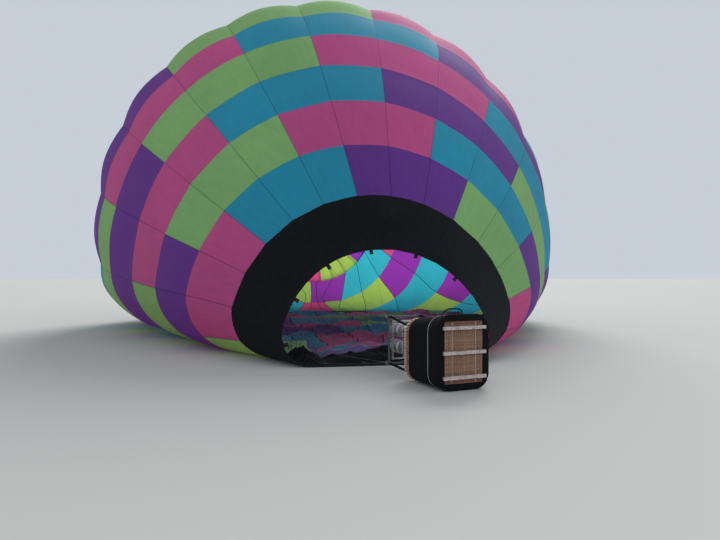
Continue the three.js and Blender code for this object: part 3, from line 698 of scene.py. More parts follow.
def section_points(latitude, gore_number, lift, floor_lift):
    """Points of the cloth in the field's frame, the width of a gore, and from 0 to 1 how far inside the part
    on the ground each point is. The lift is outward on the arch, and floor_lift is upward on the ground."""
    seam, height, small, bend, arch_half, flat_half = arch_at(latitude)
    top_y, top_z, base_y, base_z, radius, _, gore = seam
    turn = gore_number - crown_line_seam
    turn = turn - gore_count * np.round(turn / gore_count)
    arc = np.abs(turn) * gore
    large = arc < radius * bend
    angle = np.where(large, arc / radius, bend + (arc - radius * bend) / small)
    angle = np.minimum(angle, pi)
    reach = np.where(large, radius, small)
    centre_across = np.where(large, 0, flat_half)
    centre_rise = np.where(large, height - radius, small)
    fade = unit((centre_rise + reach * np.cos(angle)) / height / bulge_fade_height)
    swelled = eased(unit((latitude - last_flat_row) / (full_bulge_row - last_flat_row)))
    swell = mouth_bulge + (gore_bulge - mouth_bulge) * swelled
    bulge = swell * gore * np.sin(pi * (gore_number - np.floor(gore_number))) + lift
    floor_gores = gore_count / 2 - arch_half / gore
    share = unit((np.abs(turn) - arch_half / gore) / floor_gores)
    on_arch = arc < arch_half
    swelled_reach = reach + bulge * fade
    across = np.where(on_arch, centre_across + swelled_reach * np.sin(angle), flat_half * (1 - share))
    rise = np.where(on_arch, centre_rise + swelled_reach * np.cos(angle), 0)
    settle = np.where(on_arch, 0, eased(unit(share * floor_gores / 0.6)))
    level = (rise + floor_lift * settle) / height
    x = np.where(turn < 0, -1.0, 1.0) * across
    points = np.stack([x, base_y + (top_y - base_y) * level, base_z + (top_z - base_z) * level], -1)
    return points, gore, settle


def panel_colour(row, gore):
    """Material number of a panel: 0 is black, and 1 to 4 follow cloth_colours."""
    if row < 1:
        return 0
    start = (row - 1) // 2 if row % 2 else 4 + row // 2
    return 1 + ((gore - start) // 3) % 4


def is_on_floor(gore):
    return first_floor_gore <= gore <= last_floor_gore


def latitudes_of_gore(gore):
    """Latitudes of a gore's lines of points: close together where its cloth is gathered or lies in folds."""
    rows, steps = (folded_rows, steps_folded_rows) if is_on_floor(gore) else (low_rows, steps_low_rows)
    low = np.linspace(0, rows, rows * steps + 1)
    high = np.linspace(rows, last_row, (last_row - rows) * steps_high_rows + 1)
    return np.concatenate([low, high[1:]])


def floor_folds(plain, latitude):
    """Height of the loose cloth on the ground: wandering folds that take up its slack, on low billows. They
    start at the mouth's lip, end where the cloth is drawn tight, and leave room under the slack sheet."""
    seam, *_, arch_half, flat_half = arch_at(latitude)
    gore = seam[6]
    slack = np.clip((gore_count / 2 - arch_half / gore) * gore / np.maximum(flat_half, 0.2), 1, 2.2)
    half_height = 2.9 * np.sqrt(slack - 1) * fold_length / full_turn
    warp = noise_field(plain, (0.55, 0.30, 0.5), 2.7)
    wander = noise_field(plain, (1.9, 0.9, 0.5), 7.9)
    wave = plain[..., 1] / fold_length + 3.0 * warp + 1.2 * wander
    strength = 0.85 + 0.9 * noise_field(plain, (1.1, 0.8, 0.5), 14.2)
    height = half_height * (1 + np.cos(full_turn * wave)) * strength.clip(0.3, 1.4)
    height += 0.014 * (1 + np.cos(full_turn * (plain[..., 0] / small_pleat + 2.5 * wander + 1.5 * warp)))
    for billow, scale, seed in ((0.08, (0.5, 1.15), 11.3), (0.06, (1.2, 2.3), 8.9), (0.03, (2.9, 4.2), 6.1)):
        height += billow * crumple(plain, (*scale, 0.5), seed)
    under_slack = unit((1.45 - np.abs(plain[..., 0])) / 0.3) * unit((2.75 - plain[..., 1]) / 0.3)
    return height * unit(0.2 + latitude / 1.9) * unit((9.4 - latitude) / 1.8) * (1 - 0.93 * under_slack)


def floor_drift(plain, latitude):
    """How far the loose cloth lies from its even place, sideways and lengthwise."""
    reach = unit(latitude) * unit((11.5 - latitude) / 1.5)
    sideways = 0.18 * noise_field(plain, (1.0, 0.9, 0.5), 21.4)
    sideways += 0.05 * noise_field(plain, (3.1, 2.6, 0.5), 17.2)
    lengthwise = 0.70 * noise_field(plain, (0.6, 0.45, 0.5), 25.8)
    lengthwise += 0.16 * noise_field(plain, (2.1, 1.6, 0.5), 19.6)
    return np.stack([sideways * reach, lengthwise * reach, 0 * reach], -1)


def gore_surface(gore):
    """Points of one gore, its metric cloth coordinates, and the distances that its look reads."""
    on_floor = is_on_floor(gore)
    latitude = latitudes_of_gore(gore)
    share = np.linspace(0, 1, (steps_across_floor if on_floor else steps_across_arch) + 1)
    lat, across = np.meshgrid(latitude, share, indexing="ij")
    plain, width, settle = section_points(lat, gore + across, 0 * lat, 0 * lat)
    metres = across * width
    # A panel's edges are cut straight, so that on the swollen cloth they bow towards the narrower end
    widening = np.gradient(width[:, 0], latitude)[:, None] / row_length
    bow = straight_cut * width * widening / 2 * across * (1 - across) / row_length
    cut = lat - (1 - settle) * bow * np.minimum(1, lat) * np.minimum(1, last_row - lat)
    # Long puckers that run up from the mouth and fade after two rows
    gather = unit(lat / 0.4) * unit((2.6 - lat) / 1.6) * (0.45 + 0.55 * sin(2.4 * gore + 1.1) ** 2)
    long_pucker = 0.005 * gather * np.sin(full_turn * metres / 0.105 + 2.5 * np.sin(3 * lat + gore))
    # Short puckers beside each load tape
    edge = np.minimum(metres, width - metres)
    tape_pucker = 0.006 * np.exp(-edge / 0.09) * np.sin(full_turn * lat * row_length / 0.16 + 1.7 * gore)
    middle = np.sin(pi * across)
    swell = 0.022 * middle * noise_field(plain, (0.7, 0.7, 0.7), 3.1)
    lift = (long_pucker + swell) * np.minimum(1, middle * 3) + tape_pucker * unit(edge / 0.03)
    folds = floor_folds(plain, lat) if on_floor else 0 * lat
    points, _, settle = section_points(cut, gore + across, lift, folds)
    if on_floor:
        points = points + floor_drift(plain, lat) * settle[..., None]
    points[..., 2] = np.maximum(points[..., 2], 0.0)
    seam = np.abs(lat - np.round(lat)) * row_length
    # laid: how far the cloth lies on the ground; its look mixes in a painted grey sheen there and lets less
    # light through
    distances = {"seam": seam, "edge": edge, "laid": settle * unit((10.5 - lat) / 1.5)}
    return points, np.stack([metres, lat * row_length], -1), distances


gore_surfaces = [gore_surface(gore) for gore in range(gore_count)]


# Pieces of the envelope
def gores():
    """The envelope's gores, each one sheet from the mouth to the vent's edge."""
    cut_area = sum((seams[i][6] + seams[i + 1][6]) / 2 for i in range(last_row)) * row_length
    for gore, (points, cloth, distances) in enumerate(gore_surfaces):
        rows, columns = points.shape[:2]
        latitude = latitudes_of_gore(gore)
        row_of_face = np.floor((latitude[:-1] + latitude[1:]) / 2).astype(int)
        looks = np.repeat([panel_colour(row, gore) for row in row_of_face], columns - 1)
        row_of_point = np.minimum(latitude.astype(int), last_row - 1)
        tone = np.repeat(1 + 0.035 * np.sin(12.9 * row_of_point + 7.7 * gore), columns)
        cloth_piece(
            f"gore_{gore + 1:02d}", "balloon", ["mouth_band", "envelope_lower", "envelope_upper"],
            points + np.array(field), grid_faces(rows, columns), looks, {**distances, "tone": tone}, cloth,
            flat=(max(seams[:, 6]), last_row * row_length), area=cut_area,
            held="laid" if is_on_floor(gore) else "stretched",
        )


def load_tapes():
    """Tapes sewn along every gore's edge, flat against the cloth's inner face."""
    half_width = 0.012
    depths = (0.0008, 0.0032)
    tapes = Assembly()
    for gore in range(gore_count):
        pair = (gore, (gore - 1) % gore_count)
        latitude = min((latitudes_of_gore(g) for g in pair), key=len)
        lines = [np.searchsorted(latitudes_of_gore(g), latitude - 0.001) for g in pair]
        right, left = (gore_surfaces[g][0][kept] for g, kept in zip(pair, lines))
        edge = right[:, 0]
        toward_right = half_width * unit_rows(right[:, 1] - edge)
        toward_left = half_width * unit_rows(left[:, -2] - edge)
        inward = unit_rows(np.cross(toward_right - toward_left, np.gradient(edge, axis=0)))
        top_y, top_z, base_y, base_z = arch_at(latitude)[0][:4]
        centre = np.stack([0 * latitude, (top_y + base_y) / 2, (top_z + base_z) / 2], -1)
        inward *= np.sign(((centre - edge) * inward).sum(1))[:, None]
        near, far = (edge + inward * depth for depth in depths)
        corners = [near + toward_left, near, near + toward_right, far + toward_right, far, far + toward_left]
        points = np.stack(corners, 1)
        points[..., 2] = np.maximum(points[..., 2], 0.0)
        tapes.add(skin(points + np.array(field)))
    tapes.done("load_tapes", "webbing", [dark_tape])


def mouth_hem():
    """A rope in the hem round the mouth's edge."""
    edge = np.concatenate([points[0, :-1] for points, *_ in gore_surfaces]) + np.array(field)
    edge = np.vstack([edge, edge[:1]])
    length = lengths(edge)
    path = read_off(edge, length, np.linspace(0, length[-1], 420, endpoint=False))
    path[:, 2] = np.maximum(path[:, 2], 0.009)
    hem = Assembly()
    hem.add(tube(path, 0.008, closed=True))
    hem.done("mouth_hem", "black_fabric", [black_web])


def mouth_point(gore_number, lift):
    """A place on the mouth's edge, or above it inside the mouth."""
    given = (np.array([value]) for value in (0.0, gore_number % gore_count, lift, -lift))
    return Vector(section_points(*given)[0][0]) + field


def flying_wires(name, side_x, side_y, group):
    """Three steel wires from a corner of the burner frame, each to a hook and a black tab at the mouth."""
    eye = basket_place @ Vector((side_x * frame_x, side_y * frame_y, eye_height))
    back = -Vector((0, seams[0][1], -seams[0][0])).normalized()
    rig = Assembly()
    rig.add(tube(ring_path(eye, 0.015, 20, (0.968, 0.25, 0), (0, 0, 1)), 0.0042, closed=True))
    for gore_number in group:
        edge = mouth_point(gore_number, 0)
        deep = mouth_point(gore_number, -0.105)
        inward = (deep - edge).normalized() if (deep - edge).length > 0.01 else Vector((0, 0, 1))
        turn = Matrix((inward.cross(-back).normalized(), inward, back)).transposed()
        rig.add(block((0.074, 0.098, 0.007), edge + inward * 0.05 + back * 0.010, 0.003, turn), 1)
        rig.add(block((0.078, 0.018, 0.010), edge + inward * 0.012 + back * 0.010, 0.003, turn), 1)
        hook = edge + inward * 0.072 + back * 0.026
        rig.add(tube(ring_path(hook, 0.014, 20, inward, back), 0.0026, closed=True))
        start = hook + (eye - hook).normalized() * 0.013
        share = np.linspace(0, 1, 24)[:, None]
        route = np.array(start) * (1 - share) + np.array(eye) * share
        route[:, 2] = np.maximum(route[:, 2] - 0.02 * (4 * share * (1 - share))[:, 0], 0.006)
        rig.add(tube(route, 0.0017))
        for end, other in ((start, eye), (eye, start)):
            direction = (other - end).normalized()
            rig.add(tube([end + direction * d for d in (0.02, 0.075)], 0.0036, 10))
    rig.done(f"flying_wires_{name}_rigged", "steel", [wire_steel, black_web], ["flying_wires_" + name])


def corner_links():
    """A steel snap link on each corner of the burner frame, with its gate sleeve."""
    links = Assembly()
    half = 0.026
    bend = 0.020
    angles = np.linspace(-pi / 2, pi / 2, 12)
    top = np.stack([0 * angles, bend * np.sin(angles), half + bend * np.cos(angles)], -1)
    for side_x, side_y in ((-1, -1), (1, -1), (1, 1), (-1, 1)):
        centre = np.array([side_x * frame_x, side_y * frame_y, link_middle])
        links.add(tube(np.vstack([top, -top]) + centre, 0.0058, 12, closed=True))
        links.add(tube(centre + [[0, bend, -0.018], [0, bend, 0.022]], 0.0078, 6))
    links.in_basket("corner_links", "steel", [steel], *("link_" + name for name in wire_groups), sharp=40)


def slack_sheet():
    """One wide sheet laid in folds: black at the lip, then the colours of the rows that follow."""
    columns, rows = 110, 100
    u, v = np.meshgrid(np.linspace(0, 1, columns), np.linspace(0, 1, rows), indexing="xy")
    shape = unit(np.sin(pi * u)) ** 0.7 * unit(np.sin(pi * v)) ** 0.5
    wave = 0.5 - 0.5 * np.cos(full_turn * (slack_ridges * v + 0.35 * np.sin(pi * u)))
    x = (u - 0.5) * slack_width
    y = slack_from + v * slack_length
    ground = np.stack([x, y, 0 * x], -1)
    folds = 0.05 * noise_field(ground, (1.6, 2.6, 1.0), 4.4)
    folds += 0.05 * crumple(ground, (2.2, 3.0, 1.0), 9.2)
    folds += 0.035 * crumple(ground, (4.6, 5.4, 1.0), 3.7)
    z = 0.016 + slack_ridge * shape * (0.42 + 0.4 * wave) + folds * np.minimum(1, 3 * shape)
    drift = 0.06 * noise_field(ground, (1.6, 1.4, 1.0), 6.6) * np.minimum(1, 2 * shape)
    points = np.stack([x + drift, y + drift, np.maximum(z, 0.014)], -1)
    ragged = 0.10 * noise_field(ground, (1.5, 1.2, 1.0), 12.0)
    ragged += 0.04 * noise_field(ground, (4.5, 3.0, 1.0), 2.6)
    share = (v + ragged)[:-1, :-1]
    looks = np.full(share.shape, 4)
    for limit, look in reversed(slack_stripes):
        looks[share < limit] = look
    # Right of a lengthwise seam every colour is the next one
    swap = (u[:-1, :-1] > 0.62) & (looks > 0)
    looks[swap] = looks[swap] % 4 + 1
    # laid is one here, so the whole sheet takes the painted grey sheen of cloth on the ground
    even = {name: np.ones(u.size) for name in ("seam", "edge", "laid", "tone")}
    cloth_piece(
        "slack_sheet", "balloon", ["slack_cloth"], points + np.array(field), grid_faces(rows, columns),
        looks.ravel(), even, np.stack([x, y], -1),
        flat=slack_cut, held="folded", rests_on=["gore_15", "gore_16", "gore_17"],
    )


def parachute_sheet():
    """The vent's round panel: sectors in the pattern's colours, domed between tapes, the skirt drawn in."""
    rings, steps = 40, 8
    top = crown_rise - 0.008
    meridian = smooth_path([
        (0.02, 0, top),
        (hub_radius - 0.02, 0, top - 0.004),
        (1.2, 0, top * 0.57),
        (1.9, 0, 0.115),
        (parachute_flat_radius, 0, -0.035),
        (parachute_skirt_radius, 0, -parachute_skirt_drop),
    ], rings)
    count = gore_count * steps
    turn = circle(count)
    sector = np.arange(count) / steps
    radius = meridian[:, 0][:, None]
    scallop = np.abs(np.sin(pi * sector)) * unit(radius / parachute_flat_radius) ** 2
    across, deep, flat = np.broadcast_arrays(radius * np.sin(turn), radius * np.cos(turn), 0 * radius)
    wrinkles = unit(radius) * (1 + noise_field(np.stack([across, deep, flat], -1), (2.2, 2.2, 1.0), 5.5))
    height = meridian[:, 2][:, None] - 0.03 * scallop - 0.012 * wrinkles
    points = in_place(np.stack([across, -deep, height], -1), crown_place)
    gore_of = np.floor((crown_line_seam + sector + 0.5 / steps) % gore_count).astype(int)
    looks = np.tile([panel_colour(last_row, gore) for gore in gore_of], rings - 1)
    length = lengths(meridian)
    from_tape = 0.5 - np.abs((crown_line_seam + sector) % 1 - 0.5)
    even = np.ones((rings, count))
    attributes = {"edge": from_tape * full_turn * radius / gore_count, "seam": even, "tone": even}
    cloth = np.stack(np.broadcast_arrays(radius * turn, length[:, None]), -1)
    cut_radius = length[-1] + meridian[0, 0]
    cloth_piece(
        "parachute_sheet", "vent", ["parachute_vent"], points,
        ring_faces(rings, count, capped=False, flipped=True), looks, attributes, cloth,
        flat=(2 * cut_radius, 2 * cut_radius), held="stretched", area=pi * cut_radius ** 2,
    )


def crown_straps():
    """Load tapes from the vent's edge to the crown ring, doubled back round it."""
    straps = Assembly()
    up = Vector((0, 0, 1))
    thick = np.array([0, 0, 0.0018])
    share = np.linspace(0, 1, 30)[:, None]
    width = 0.028 - 0.006 * share
    for points, *_ in gore_surfaces:
        start = crown_place.inverted() @ (Vector(points[-1, 0]) + field) + up * 0.006
        radial = Vector((start.x, start.y, 0)).normalized()
        end = radial * 0.19 + up * (crown_rise + 0.001)
        across = width * np.array((-radial.y, radial.x, 0))
        route = np.array(start) * (1 - share) + np.array(end) * share
        left, right = route - across, route + across
        corners = np.stack([left - thick, right - thick, right + thick, left + thick], 1)
        straps.add(skin(in_place(corners, crown_place)))
        loop = ring_path(radial * 0.18 + up * (crown_rise + 0.015), 0.026, 14, radial, up)
        points, faces, along = tube(loop, 0.019, closed=True, flatten=0.12)
        straps.add((in_place(points, crown_place), faces, along))
    straps.done("crown_straps", "webbing", [dark_tape], ["crown_tapes"])


# Basket
def rounded_outline(half_x, half_y, corner, steps):
    """A rounded rectangle's outline, its last point the first again, and the outward direction there."""
    angle = np.concatenate([np.linspace(k, k + 1, steps) * pi / 2 for k in range(4)])
    sign = np.repeat([[1, 1], [-1, 1], [-1, -1], [1, -1]], steps, axis=0)
    out = np.stack([np.cos(angle), np.sin(angle)], -1)
    points = sign * [half_x - corner, half_y - corner] + corner * out
    return np.vstack([points, points[:1]]), np.vstack([out, out[:1]])


def plan_loop(inset, spacing):
    """Points evenly spaced round the basket's plan, the outward direction there, and the loop's length."""
    half_x, half_y = basket_width / 2 - inset, basket_depth / 2 - inset
    points, out = rounded_outline(half_x, half_y, basket_corner - inset, 40)
    length = lengths(points)
    wanted = np.linspace(0, length[-1], max(8, round(length[-1] / spacing)), endpoint=False)
    return read_off(points, length, wanted), unit_rows(read_off(out, length, wanted)), length[-1]


def at_height(points, height):
    return np.column_stack([points, np.full(len(points), height)])


def slope_at(y, z):
    """How far the wall that lies uppermost slopes in at a place, as in the frame."""
    corner = basket_depth / 2 - basket_corner
    rise = unit((z - wall_bottom) / (rim_height - wall_bottom))
    return rim_narrowing * unit((corner - y) / (2 * corner)) * rise


def woven(wave):
    """A wave with flat tops, for a cane that passes in front of one stake and behind the next."""
    return np.sign(wave) * np.abs(wave) ** 0.6


def basket_rim():
    """Wound rim: one flat band of canes laid round the top in a steep coil."""
    points, _, total = plan_loop(rim_inset, 0.0055)
    length = np.arange(len(points)) / len(points)
    phase = circle(20)[None, :] - full_turn * round(total / rim_band) * length[:, None]
    lobe = np.abs(np.sin(phase / 2)) ** 0.9
    ribs = 0.5 + 0.5 * np.cos(6 * phase)
    reach = rim_radius * (0.72 + 0.25 * lobe + 0.03 * ribs * lobe)
    band_of = np.floor(phase / full_turn)
    # Painted shade: darkest in the grooves between the wound turns, a little darker between the canes of each
    # turn; the last factor is tone that differs by band
    tone = (0.2 + 1.05 * lobe) * (0.92 + 0.08 * ribs) * (0.94 + 0.06 * np.sin(7.3 * band_of))
    rim = Assembly()
    rim.add(tube(at_height(points, rim_height), reach, 20, closed=True), 0, tone.ravel())
    rim.in_basket("plaited_rim", "wicker", [rim_cane], "basket_rim", sloped=True)


def basket_wall():
    """Woven wall: upright stakes, and canes in and out between them, redder above the upper cover."""
    low, high = wall_ends
    total = plan_loop(wall_inset, stake_pitch / 3)[2]
    stakes = 2 * round(total / stake_pitch / 2)
    points, normal, _ = plan_loop(wall_inset, total / (3 * stakes))
    place = np.arange(len(points)) / 3
    wall = Assembly()
    for row, height in enumerate(np.arange(low + 0.01, high - 0.008, wall_row)):
        offset = 0.0062 * woven(np.cos(pi * (place + row % 2)))
        path = at_height(points + normal * offset[:, None], height)
        look = 1 if height > cover_top - 0.02 else 0
        wall.add(tube(path, 0.0096, 4, closed=True, flatten=0.48), look, 0.5 + 0.5 * sin(2.7 * row) ** 2)
    for k in range(stakes):
        x, y = points[3 * k]
        wall.add(tube([[x, y, low], [x, y, high]], 0.0052, 6), 0, 0.7 + 0.3 * sin(1.9 * k))
    wall.in_basket("woven_wall", "wicker", [cane, red_cane], "basket_wall", sloped=True)


def cover(name, low, high, replaced):
    """Suede cover round the wall: a padded band with rolled, piped edges and stitched seams."""
    spacing = 0.016
    points, normal, _ = plan_loop(0.0, spacing)
    heights = np.concatenate([[low], np.linspace(low + 0.004, high - 0.004, 20), [high]])
    from_edge = np.minimum(heights - low, high - heights)
    drawn = np.select([from_edge < 0.001, from_edge < 0.008], [0.005, 0.0018], 0.0)
    grid = np.stack([at_height(points, height) for height in heights])
    offset = 0.0022 * noise_field(grid, (4.5, 4.5, 3.0), 3.3) - 0.0022 - drawn[:, None]
    outward = np.column_stack([normal, 0 * normal[:, 0]])
    outer = grid + outward * offset[..., None]
    inner = grid[::-1] - outward * cover_thickness
    piece = Assembly()
    piece.add(skin(np.concatenate([outer, inner]), closed=True))
    piping = plan_loop(0.0028, 0.02)[0]
    for height in (low + 0.0045, high - 0.0045):
        piece.add(tube(at_height(piping, height), 0.0034, closed=True), 1)
    stitches = plan_loop(0.0012, 0.006)[0]
    for height in (low + 0.018, high - 0.018):
        for k in range(0, len(stitches) - 1, 2):
            piece.add(tube(at_height(stitches[k:k + 2], height), stitch_radius, 4), 1)
    piece.in_basket(name, "leather", [suede, piping_look], replaced, sloped=True)


def lacing():
    """The rope between the two covers, held by cord stitches through both edges."""
    laced = Assembly()
    path = at_height(plan_loop(lace_inset, 0.0042)[0], lace_height)
    laced.add(*rope(path, lace_radius, 12, closed=True))
    posts, out, _ = plan_loop(0.0, 0.075)
    angle = np.linspace(0, pi, 9)[:, None]
    for k, ((x, y), (nx, ny)) in enumerate(zip(posts, out)):
        lean = 0.006 * sin(2.1 * k)
        proud = np.array([nx, ny, 0]) * (0.0045 * np.sin(angle) - 0.001)
        down = np.array([-ny * lean, nx * lean, -0.013]) * np.cos(angle)
        laced.add(tube([x, y, lace_height] + proud + down, 0.0019, 6), 0, 0.85)
    laced.in_basket("lacing", "rope", [pale_rope], "lacing_rope", sloped=True)


def rectangle_radius(angle, half_x, half_y, corner):
    """Distance from the middle to a rounded rectangle's outline, at each angle."""
    outline, _ = rounded_outline(half_x, half_y, corner, 60)
    share = np.linspace(0, 1, 30)[:, None]
    dense = np.concatenate([a + (b - a) * share for a, b in zip(outline[:-1], outline[1:])])
    at = np.unwrap(np.arctan2(dense[:, 1], dense[:, 0]))
    return np.interp(angle, at, np.hypot(dense[:, 0], dense[:, 1]), period=full_turn)


def bottom_border():
    """Leather frame round the bottom panel, rolled over the basket's lower edge and stitched twice."""
    angle = circle(260)
    inner = rectangle_radius(angle, panel_width / 2, panel_depth / 2, 0.012)
    outer = rectangle_radius(angle, basket_width / 2, basket_depth / 2, basket_corner)

    def ring(share, height):
        reach = inner + (outer - inner) * share
        return np.stack([reach * np.cos(angle), reach * np.sin(angle), np.full(len(angle), height)], -1)

    # From the panel's edge to the basket's edge: share of the way, and height
    profile = [
        (0.0, border_top), (0.0, 0.0440), (0.03, 0.0412), (0.12, border_bottom),
        (0.5, border_bottom + 0.0006), (0.82, border_bottom),
        (0.92, 0.0416), (0.97, 0.0445), (0.995, 0.0495), (1.0, border_top),
    ]
    leather = np.stack([ring(share, height) for share, height in profile])
    leather[2:6, :, 2] += 0.0010 * noise_field(leather, (9.0, 9.0, 1.0), 2.2)[2:6]
    leather[..., 2] = np.maximum(leather[..., 2], border_bottom)
    border = Assembly()
    border.add(skin(leather, closed=True, flipped=True))
    for share in (0.10, 0.88):
        line = ring(share, border_bottom)
        length = lengths(line)
        for start in np.arange(0, length[-1] - 0.006, 0.012):
            border.add(tube(read_off(line, length, [start, start + 0.007]), stitch_radius, 4), 1)
    border.in_basket("bottom_border_leather", "leather", [suede, piping_look], "bottom_border")


def woven_floor():
    """Bottom panel: stakes across the basket's depth, thin canes woven through them, redder at the two ends,
    and over them the plywood that carries the load."""
    floor = Assembly()
    points, normal, _ = plan_loop(0.0375, 0.03)
    plate = ((0.069, 0.004), (0.072, 0.0), (0.0865, 0.0), (0.0895, 0.004))
    floor.add(skin(np.stack([at_height(points - normal * inset, height) for height, inset in plate])), 2)
    half_x, half_y = panel_width / 2 - 0.003, panel_depth / 2 - 0.004
    stakes = int(2 * half_x / stake_pitch)
    for k in range(stakes + 1):
        x = (k - stakes / 2) * stake_pitch
        ends = [[x, -half_y, floor_middle], [x, half_y, floor_middle]]
        floor.add(tube(ends, 0.0050, 6), 0, 0.6 + 0.3 * sin(3.1 * k))
    rows = int(2 * half_y / floor_row)
    x = np.linspace(-half_x, half_x, 3 * (stakes + 1))
    for row in range(rows):
        y = (row - (rows - 1) / 2) * floor_row
        z = floor_middle - 0.0048 * woven(np.cos(pi * (x / stake_pitch + stakes / 2 + row)))
        path = np.column_stack([x, y + 0.0009 * np.sin(9 * x + 1.3 * row), z])
        look = 1 if abs(y) > 0.405 else 0
        floor.add(tube(path, 0.0052, 6, flatten=0.62), look, 0.5 + 0.5 * sin(5.3 * row) ** 2)
    for side in (-1, 1):
        x, y, z = side * (half_x - 0.002), side * (half_y - 0.002), floor_middle - 0.002
        floor.add(tube([[x, -half_y, z], [x, half_y, z]], 0.006), 1, 0.8)
        floor.add(tube([[-half_x, y, z], [half_x, y, z]], 0.006), 1, 0.7)
    floor.in_basket("woven_floor", "wicker", [cane, red_cane, timber], "basket_floor", sloped=True)


def floor_ropes():
    """Ropes that carry the load under the floor, each with a knot at its upper end."""
    end = panel_depth / 2 - 0.010
    run = np.linspace(-end, end, 320)
    turn = np.linspace(0, full_turn * 2.5, 90)
    for name, x in (("left", -floor_rope_x), ("right", floor_rope_x)):
        ropes = Assembly()
        ropes.add(*rope(np.column_stack([0 * run + x, run, 0 * run + floor_rope_z]), 0.0047, 12))
        knot = [x + 0.0088 * np.cos(turn), 0.010 - end + 0.0085 * turn / full_turn]
        knot.append(floor_rope_z - 0.004 + 0.0075 * np.sin(turn))
        ropes.add(*rope(np.column_stack(knot), 0.0042, 10))
        ropes.in_basket(f"floor_rope_{name}", "rope", [pale_rope], f"floor_cable_{name}")


def carry_handle():
    """Padded handle of the uppermost wall, with bound ends."""
    def depth_at(x):
        over = max(0, abs(x) - (basket_width / 2 - basket_corner))
        return basket_depth / 2 - basket_corner + sqrt(basket_corner ** 2 - over ** 2)

    # Place along x, and how far the handle stands off the wall there
    stations = (
        (-0.340, 0.02), (-0.320, 0.62), (-0.250, 1.0), (-0.160, 1.08),
        (-0.050, 1.0), (0.006, 0.6), (0.020, 0.02),
    )
    route = smooth_path([(x, -(depth_at(x) + 0.0022 + off * 0.078), 0.110) for x, off in stations], 70)
    share = np.linspace(0, 1, len(route))
    padding = 0.0075 + 0.0035 * unit(np.minimum(share - 0.16, 0.84 - share) / 0.03)
    padding -= 0.0007 * (np.cos(full_turn * share * 26) > 0.6) * (padding > 0.010)
    handle = Assembly()
    handle.add(tube(route, padding, 14))
    for at in (5, 8, 11, 58, 61, 64):
        handle.add(tube(route[at - 1:at + 2], 0.0092, 12), 1)
    piece = handle.in_basket("padded_handle", "leather", [suede, piping_look], "carry_handle", sloped=True)


def uprights():
    """Padded poles from the basket's corners to the burner frame, strapped round at four places."""
    foot_x = basket_width / 2 - basket_corner + upright_inset * sqrt(0.5)
    foot_y = basket_depth / 2 - basket_corner + upright_inset * sqrt(0.5)
    for name, (side_x, side_y, _) in wire_groups.items():
        levels = (0.88, 1.02, upright_bend)
        foot = [(foot_x, foot_y + side_y * float(slope_at(side_y * foot_y, z)), z) for z in levels]
        middle = ((foot_x + frame_x) / 2, (foot[2][1] + frame_y) / 2, (upright_bend + upright_head) / 2)
        route = [*foot, middle, (frame_x, frame_y, upright_head - 0.09), (frame_x, frame_y, upright_head)]
        path = smooth_path([(side_x * x, side_y * y, z) for x, y, z in route], 90)
        share = np.linspace(0, 1, len(path))
        radius = 0.0205 + 0.0016 * np.sin(40 * share) * np.sin(9 * share) + 0.0008 * np.sin(97 * share)
        pole = Assembly()
        pole.add(tube(path, radius, 18))
        for at in (24, 42, 60, 78):
            pole.add(tube(path[at - 1:at + 2], 0.0225, 18), 1)
        zip_line = path + path_frames(path, False)[1] * 0.0213
        pole.add(tube(zip_line[4:-4], 0.0022, 6), 1)
        piece = pole.in_basket("padded_upright_" + name, "leather", [suede, black_web], "upright_" + name)


# Burner
def burner_frame():
    """Frame of four round rails, a block with bolts at each corner, and the gimbal's bearings."""
    rails = Assembly()
    z = frame_height
    for side in (-1, 1):
        x, y = side * frame_x, side * frame_y
        rails.add(tube([[x, -frame_y, z], [x, frame_y, z]], 0.019, 24))
        rails.add(tube([[-frame_x, y, z], [frame_x, y, z]], 0.019, 24))
        rails.add(block((0.040, 0.046, 0.046), (side * (frame_x - 0.004), 0, z), 0.003))
    for side_x in (-1, 1):
        for side_y in (-1, 1):
            middle = np.array([side_x * frame_x, side_y * frame_y, z])
            rails.add(block((0.064, 0.064, 0.064), middle, 0.006))
            rails.add(tube(middle + [[0, 0, 0.030], [0, 0, 0.0318]], 0.011, 6), 1)
            for way in ([side_x, 0, 0], [0, side_y, 0]):
                rails.add(tube(middle + np.outer((0.030, 0.0335), way), 0.012, 6), 1)
    rails.in_basket("burner_frame_rails", "frame_metal", [dark_metal, steel], "burner_frame", sharp=35)


def burner_block():
    """Crossbar with its pins, and under each burner a valve body with hex nuts, stem and blast valve."""
    parts = Assembly()
    z = frame_height
    parts.add(block((0.046, 2 * (bar_half - 0.016), 0.034), (0, 0, z), 0.003))
    for side in (-1, 1):
        y = side * burner_spacing
        parts.add(tube([[0, side * (bar_half - 0.030), z], [0, side * bar_half, z]], 0.009, 20))
        parts.add(tube([[0, y, z], [0, y, 1.9647]], 0.026, 28))
        parts.add(tube([[0, y, z + 0.022], [0, y, z + 0.036]], 0.0262, 6))
        parts.add(block((0.060, 0.070, 0.090), (0, y, z - 0.060), 0.005))
        parts.add(tube([[0, y, z - 0.060], [0, y, z - 0.120]], 0.017, 24))
        parts.add(tube([[0, y, z - 0.104], [0, y, z - 0.112]], 0.0205, 6))
        for x in (-0.019, 0.019):
            for dy in (-0.023, 0.023):
                parts.add(tube([[x, y + dy, z - 0.1035], [x, y + dy, z - 0.108]], 0.004, 6))
    parts.in_basket("burner_block_machined", "steel", [steel], "burner_block", body="burner", sharp=35)


